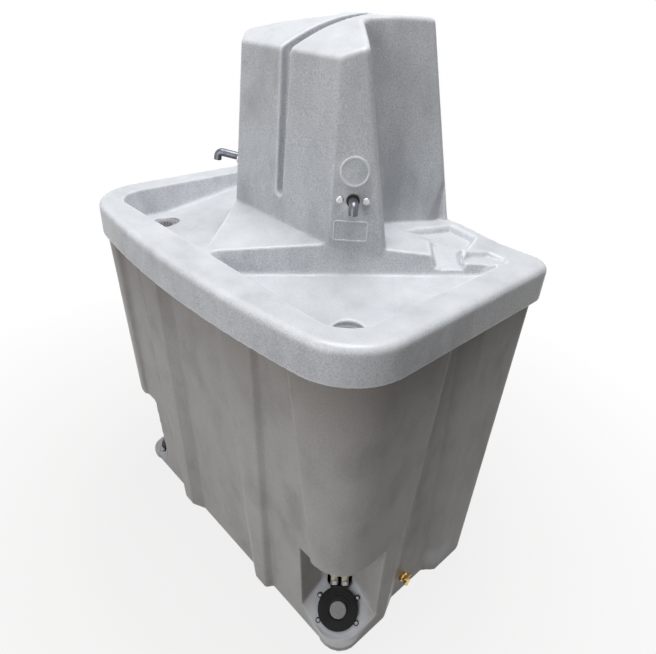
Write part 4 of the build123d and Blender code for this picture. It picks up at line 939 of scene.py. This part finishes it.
def turned(name: str, profile: Sequence[Spot], place: Matrix, steps: int = 64) -> bpy.types.Object:
    """Turned piece from a closed profile.

    Args:
        name: Name of the object.
        profile: Radius and height of each point, in metres, closed.
        place: Matrix that takes the turning axis, +Z, to its place.
        steps: Faces round the axis.

    Returns:
        The object.
    """
    work = bmesh.new()
    rings = []
    for step in range(steps):
        angle = 2 * math.pi * step / steps
        rings.append([
            work.verts.new(place @ Vector((r * math.cos(angle), r * math.sin(angle), z)))
            for r, z in profile
        ])
    tube_faces(work, rings)
    return finished(name, work)


def rounded_loop(width: float, height: float, corner: float, steps: int = 8) -> list[Vector]:
    """Points round a rectangle with round corners.

    Args:
        width: Its width.
        height: Its height.
        corner: Radius of its corners.
        steps: Points in each corner.

    Returns:
        The points, anticlockwise.
    """
    loop = []
    for turn, (sx, sy) in enumerate(((1, 1), (-1, 1), (-1, -1), (1, -1))):
        centre = Vector((sx * (width / 2 - corner), sy * (height / 2 - corner), 0))
        for i in range(steps + 1):
            angle = math.pi / 2 * (turn + i / steps)
            loop.append(centre + Vector((math.cos(angle), math.sin(angle), 0)) * corner)
    return loop


def bead(name: str, loop: Sequence[Vector], bead_r: float, sink: float, place: Matrix) -> bpy.types.Object:
    """Raised round bead along a closed flat loop.

    Args:
        name: Name of the object.
        loop: Points of its middle line, with Z out of the face.
        bead_r: Radius of its section.
        sink: How far its middle lies under the face.
        place: Matrix of the face.

    Returns:
        The object.
    """
    sections = 12
    angles = [2 * math.pi * k / sections for k in range(sections)]
    out = Vector((0, 0, 1))
    work = bmesh.new()
    rings = []
    for i, point in enumerate(loop):
        along = (loop[(i + 1) % len(loop)] - loop[i - 1]).normalized()
        across = along.cross(out)
        middle = point - out * sink
        rings.append([
            work.verts.new(place @ (middle + (across * math.cos(a) + out * math.sin(a)) * bead_r))
            for a in angles
        ])
    tube_faces(work, rings)
    return finished(name, work)


@dataclass(frozen=True)
class NoseFace:
    """Plane on the right nose of the tower, at the spout, and the sizes of what stands on it."""

    origin: Point = (0.1885, -0.0125, 1.0145)
    out: Point = (0.7176, -0.6937, 0.0611)
    ring_up: float = 56 * MM
    ring_r: float = 27.2 * MM
    ring_bead: float = 3.4 * MM
    ring_sink: float = 1.9 * MM
    ring_steps: int = 24
    panel_down: float = 62 * MM
    panel_width: float = 68 * MM
    panel_height: float = 40 * MM
    panel_corner: float = 5 * MM
    panel_bead: float = 1.5 * MM
    panel_sink: float = 0.6 * MM
    washer_bore: float = 9.1 * MM
    washer_r: float = 13.5 * MM
    washer_thick: float = 2.4 * MM
    washer_edge: float = 0.7 * MM
    washer_lift: float = 0.2 * MM

    def frame_of(self, side: Side) -> Matrix:
        """Matrix of the face, with Z out of it and Y up it.

        Args:
            side: The side of the station.

        Returns:
            The matrix.
        """
        low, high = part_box("right_spout_bracket")
        axis = Vector(self.out).normalized()
        up = Vector((0, 0, 1))
        up = (up - axis * up.dot(axis)).normalized()
        across = up.cross(axis)
        centre = (low + high) / 2
        origin = centre + axis * (Vector(self.origin) - centre).dot(axis)
        origin.z = self.origin[2]
        if side is Side.LEFT:
            across = -across
        return matrix_of(*(side.place(column) for column in (across, up, axis, origin)))


class Tower:
    """Raised details on the two noses of the tower."""

    def __init__(self, finishes: Finishes) -> None:
        """Keeps the finishes.

        Args:
            finishes: All finishes.
        """
        self.finishes = finishes
        self.face = NoseFace()

    def _ring(self, side: Side, place: Matrix) -> None:
        """Makes the bare ring above the spout.

        Args:
            side: The side of the station.
            place: Matrix of the nose's face.
        """
        face = self.face
        loop = rounded_loop(2 * face.ring_r, 2 * face.ring_r, face.ring_r, face.ring_steps)
        place = place @ Matrix.Translation((0, face.ring_up, 0))
        ring = bead(f"{side.word}_nose_ring", loop, face.ring_bead, face.ring_sink, place)
        hold(ring, self.finishes.top)

    def _panel_edge(self, side: Side, place: Matrix) -> None:
        """Makes the border of the bare panel below the spout.

        Args:
            side: The side of the station.
            place: Matrix of the nose's face.
        """
        face = self.face
        loop = rounded_loop(face.panel_width, face.panel_height, face.panel_corner)
        place = place @ Matrix.Translation((0, -face.panel_down, 0))
        border = bead(f"{side.word}_nose_panel_edge", loop, face.panel_bead, face.panel_sink, place)
        hold(border, self.finishes.top)

    def _washer(self, side: Side, place: Matrix) -> None:
        """Makes the rubber washer round the spout.

        Args:
            side: The side of the station.
            place: Matrix of the nose's face.
        """
        face = self.face
        bore, outer, edge = face.washer_bore, face.washer_r, face.washer_edge
        foot, top = face.washer_lift, face.washer_thick
        profile = [
            (bore, foot), (outer, foot), (outer, top - edge),
            (outer - edge, top), (bore + edge, top), (bore, top - edge),
        ]
        washer = turned(f"{side.word}_spout_washer", profile, place)
        hold(washer, self.finishes.rubber)

    def build(self) -> None:
        """Makes the ring, the panel's border and the spout's washer on each nose."""
        for side in Side:
            place = self.face.frame_of(side)
            self._ring(side, place)
            self._panel_edge(side, place)
            self._washer(side, place)


@dataclass
class Shells:
    """The sink top and the tub."""

    finishes: Finishes
    bracket_crisp: float = 52 * MM
    strainer_crisp: float = 44 * MM

    def _fixings(self) -> list[tuple[Vector, float]]:
        """Small holes that stay crisp, with the radius of the crisp patch."""
        spots = []
        for side in Side:
            low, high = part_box(f"{side.word}_spout_bracket")
            spots.append(((low + high) / 2, self.bracket_crisp))
            low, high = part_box(f"{side.word}_basin_strainer")
            middle = (low + high) / 2
            spots.append((Vector((middle.x, middle.y, high.z)), self.strainer_crisp))
        return spots

    def build(self) -> None:
        """Softens both shells."""
        SoftShell(
            "sink_top", "top_plastic", passes=5, still=self._fixings(), moulds=(SoapCorner(),)
        ).build(self.finishes.top)
        SoftShell("tub_shell", "tub_plastic", passes=4, moulds=(RecessLip(),)).build(self.finishes.tub)


class Fittings:
    """Pieces whose CAD shape stays, each with its finish."""

    def __init__(self, finishes: Finishes) -> None:
        """Lists the finish of each node.

        Args:
            finishes: All finishes.
        """
        paired = {
            "pump_base": finishes.black,
            "pump_cover": finishes.black,
            "pump_diaphragm": finishes.rubber,
            "pump_button": finishes.button,
            "pump_hose_stubs": finishes.cream,
            "hose_connectors": finishes.cream,
            "suction_hose": finishes.hose,
            "delivery_hose": finishes.hose,
            "spout": finishes.polished,
            "spout_bracket": finishes.steel,
            "basin_strainer": finishes.dull_steel,
            "drain_nut": finishes.black,
            "drain_hose": finishes.drain_hose,
        }
        single = {
            "rim_screws": finishes.steel,
            "fresh_water_tank": finishes.tank,
            "grey_water_tank": finishes.tank,
            "fill_neck": finishes.black,
            "fill_neck_nut": finishes.black,
            "fill_cap": finishes.black,
            "pump_screws": finishes.dull_steel,
            "spout_screws": finishes.steel,
            "spout_nuts": finishes.steel,
            "hose_clamps": finishes.dull_steel,
            "drain_hose_clamps": finishes.steel,
            "drain_cock_body": finishes.brass,
            "drain_cock_key": finishes.brass,
            "drain_lock_nut": finishes.brass,
            "drain_pipe": finishes.hose,
        }
        self.finish_of = dict(single)
        for name, finish in paired.items():
            for side in Side:
                self.finish_of[f"{side.word}_{name}"] = finish

    def build(self) -> None:
        """Dresses every node."""
        for node, finish in self.finish_of.items():
            dress(node, finish)


@dataclass
class PumpSprings:
    """Return springs of the foot pumps."""

    finishes: Finishes
    travel: float = 14.2 * MM

    def build(self) -> None:
        """Copies each coil from its node, in steel, and lets it stand for the node."""
        for side in Side:
            node = f"{side.word}_pump_spring"
            place = pump_frame(side)
            piece = new_object(f"{node}_coil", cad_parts[node].data.copy())
            piece.data.shade_smooth()
            hold(piece, self.finishes.steel)
            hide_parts(node)
            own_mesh(piece)


@dataclass(frozen=True)
class Lamp:
    """Square soft lamp: where it hangs, what it faces, its side in metres and its power in watts."""

    name: str
    place: Point
    aim: Point
    size: float
    watts: float

    def hang(self) -> None:
        """Adds the lamp to the scene."""
        data = bpy.data.lights.new(self.name, "AREA")
        data.size = self.size
        data.energy = self.watts
        lamp = bpy.data.objects.new(self.name, data)
        bpy.context.scene.collection.objects.link(lamp)
        lamp.location = Vector(self.place)
        lamp.rotation_euler = (Vector(self.aim) - lamp.location).to_track_quat("-Z", "Y").to_euler()


@dataclass
class Studio:
    """Camera, floor and soft lamps."""

    camera_at: Point = (0.9158, -0.77685, 1.3691)
    azimuth: float = 45.3
    elevation: float = 31.6
    roll: float = -3.7
    focal_pixels: float = 551.8
    image_width: int = 656
    sensor: float = 36.0
    view_end: float = 50.0
    floor_half: float = 9.0
    floor_colour: Colour = (0.25, 0.235, 0.22)
    shadow_core: float = 0.5
    shadow_radius: float = 1.6
    shadow_white: float = 0.84
    world_grey: float = 0.02
    lamps: tuple[Lamp, ...] = (
        Lamp("top_lamp", (0.1, 0.0, 5.8), (0, 0, 0.8), 3.0, 312),
        Lamp("front_lamp", (-1.2, -2.9, 1.7), (0, 0, 0.6), 2.0, 5.5),
        Lamp("left_lamp", (-2.9, -1.2, 1.7), (0, 0, 0.6), 2.0, 6.5),
        Lamp("near_lamp", (0.7, -3.1, 1.6), (0, 0, 0.6), 1.4, 7),
        Lamp("corner_lamp", (0.95, -2.8, 2.0), (0, 0, 0.6), 1.0, 16),
        Lamp("low_lamp", (0.9, -2.2, 0.5), (0.2, 0, 0.4), 0.8, 9),
        Lamp("rear_lamp", (-2.2, 2.6, 0.9), (0, 0, 0.5), 1.6, 14),
    )

    def _camera(self) -> None:
        """Adds the camera at the photograph's place."""
        az, el, roll = (math.radians(v) for v in (self.azimuth, self.elevation, self.roll))
        forward = Vector((-math.sin(az) * math.cos(el), math.cos(az) * math.cos(el), -math.sin(el)))
        right = Vector((math.cos(az), math.sin(az), 0))
        down = forward.cross(right)
        across = right * math.cos(roll) + down * math.sin(roll)
        below = down * math.cos(roll) - right * math.sin(roll)
        data = bpy.data.cameras.new("camera")
        data.sensor_width = self.sensor
        data.lens = self.focal_pixels / self.image_width * self.sensor
        data.clip_end = self.view_end
        camera = bpy.data.objects.new("camera", data)
        bpy.context.scene.collection.objects.link(camera)
        camera.matrix_world = matrix_of(across, -below, -forward, Vector(self.camera_at))
        bpy.context.scene.camera = camera

    def _floor(self) -> None:
        """Adds the pale floor, which the camera sees nearly white and which keeps the shadow."""
        graph = Graph(bpy.data.materials.new("floor"))
        diffuse = graph.add("ShaderNodeBsdfDiffuse", inputs={"Color": (*self.floor_colour, 1.0)})
        white = graph.add("ShaderNodeEmission", inputs={"Color": (*WHITE, 1.0), "Strength": 1.0})
        far = graph.add("ShaderNodeVectorMath", {"operation": "LENGTH"}, {0: graph.place()}, "Value")
        share = far.ramp(self.shadow_core, self.shadow_radius) * (1 - self.shadow_white) + self.shadow_white
        shader = graph.add("ShaderNodeMixShader", inputs={0: graph.seen() * share, 1: diffuse, 2: white})
        mesh = bpy.data.meshes.new("floor")
        half = self.floor_half
        corners = [(-half, -half, 0), (half, -half, 0), (half, half, 0), (-half, half, 0)]
        mesh.from_pydata(corners, [], [(0, 1, 2, 3)])
        floor = new_object("floor", mesh)
        mesh.materials.append(graph.close(shader))

    def _world(self) -> None:
        """Adds a dim world that is white where the camera, a mirror or glass sees it."""
        world = bpy.data.worlds.new("world")
        bpy.context.scene.world = world
        graph = Graph(world)
        grey = (self.world_grey, self.world_grey, self.world_grey, 1.0)
        light = graph.add("ShaderNodeBackground", inputs={"Color": grey})
        shown = graph.add("ShaderNodeBackground", inputs={"Color": (*WHITE, 1.0)})
        graph.close(graph.add("ShaderNodeMixShader", inputs={0: graph.seen(), 1: light, 2: shown}))

    def build(self) -> None:
        """Sets up the whole studio."""
        self._camera()
        self._floor()
        self._world()
        for lamp in self.lamps:
            lamp.hang()
        bpy.context.scene.view_settings.view_transform = "Standard"


def main() -> None:
    """Builds every sub-assembly in order."""
    logging.basicConfig(level=logging.INFO, format="%(message)s")
    finishes = Finishes()
    Studio().build()
    Fittings(finishes).build()
    PumpSprings(finishes).build()
    Shells(finishes).build()
    Tower(finishes).build()


if __name__ == "__main__":
    main()
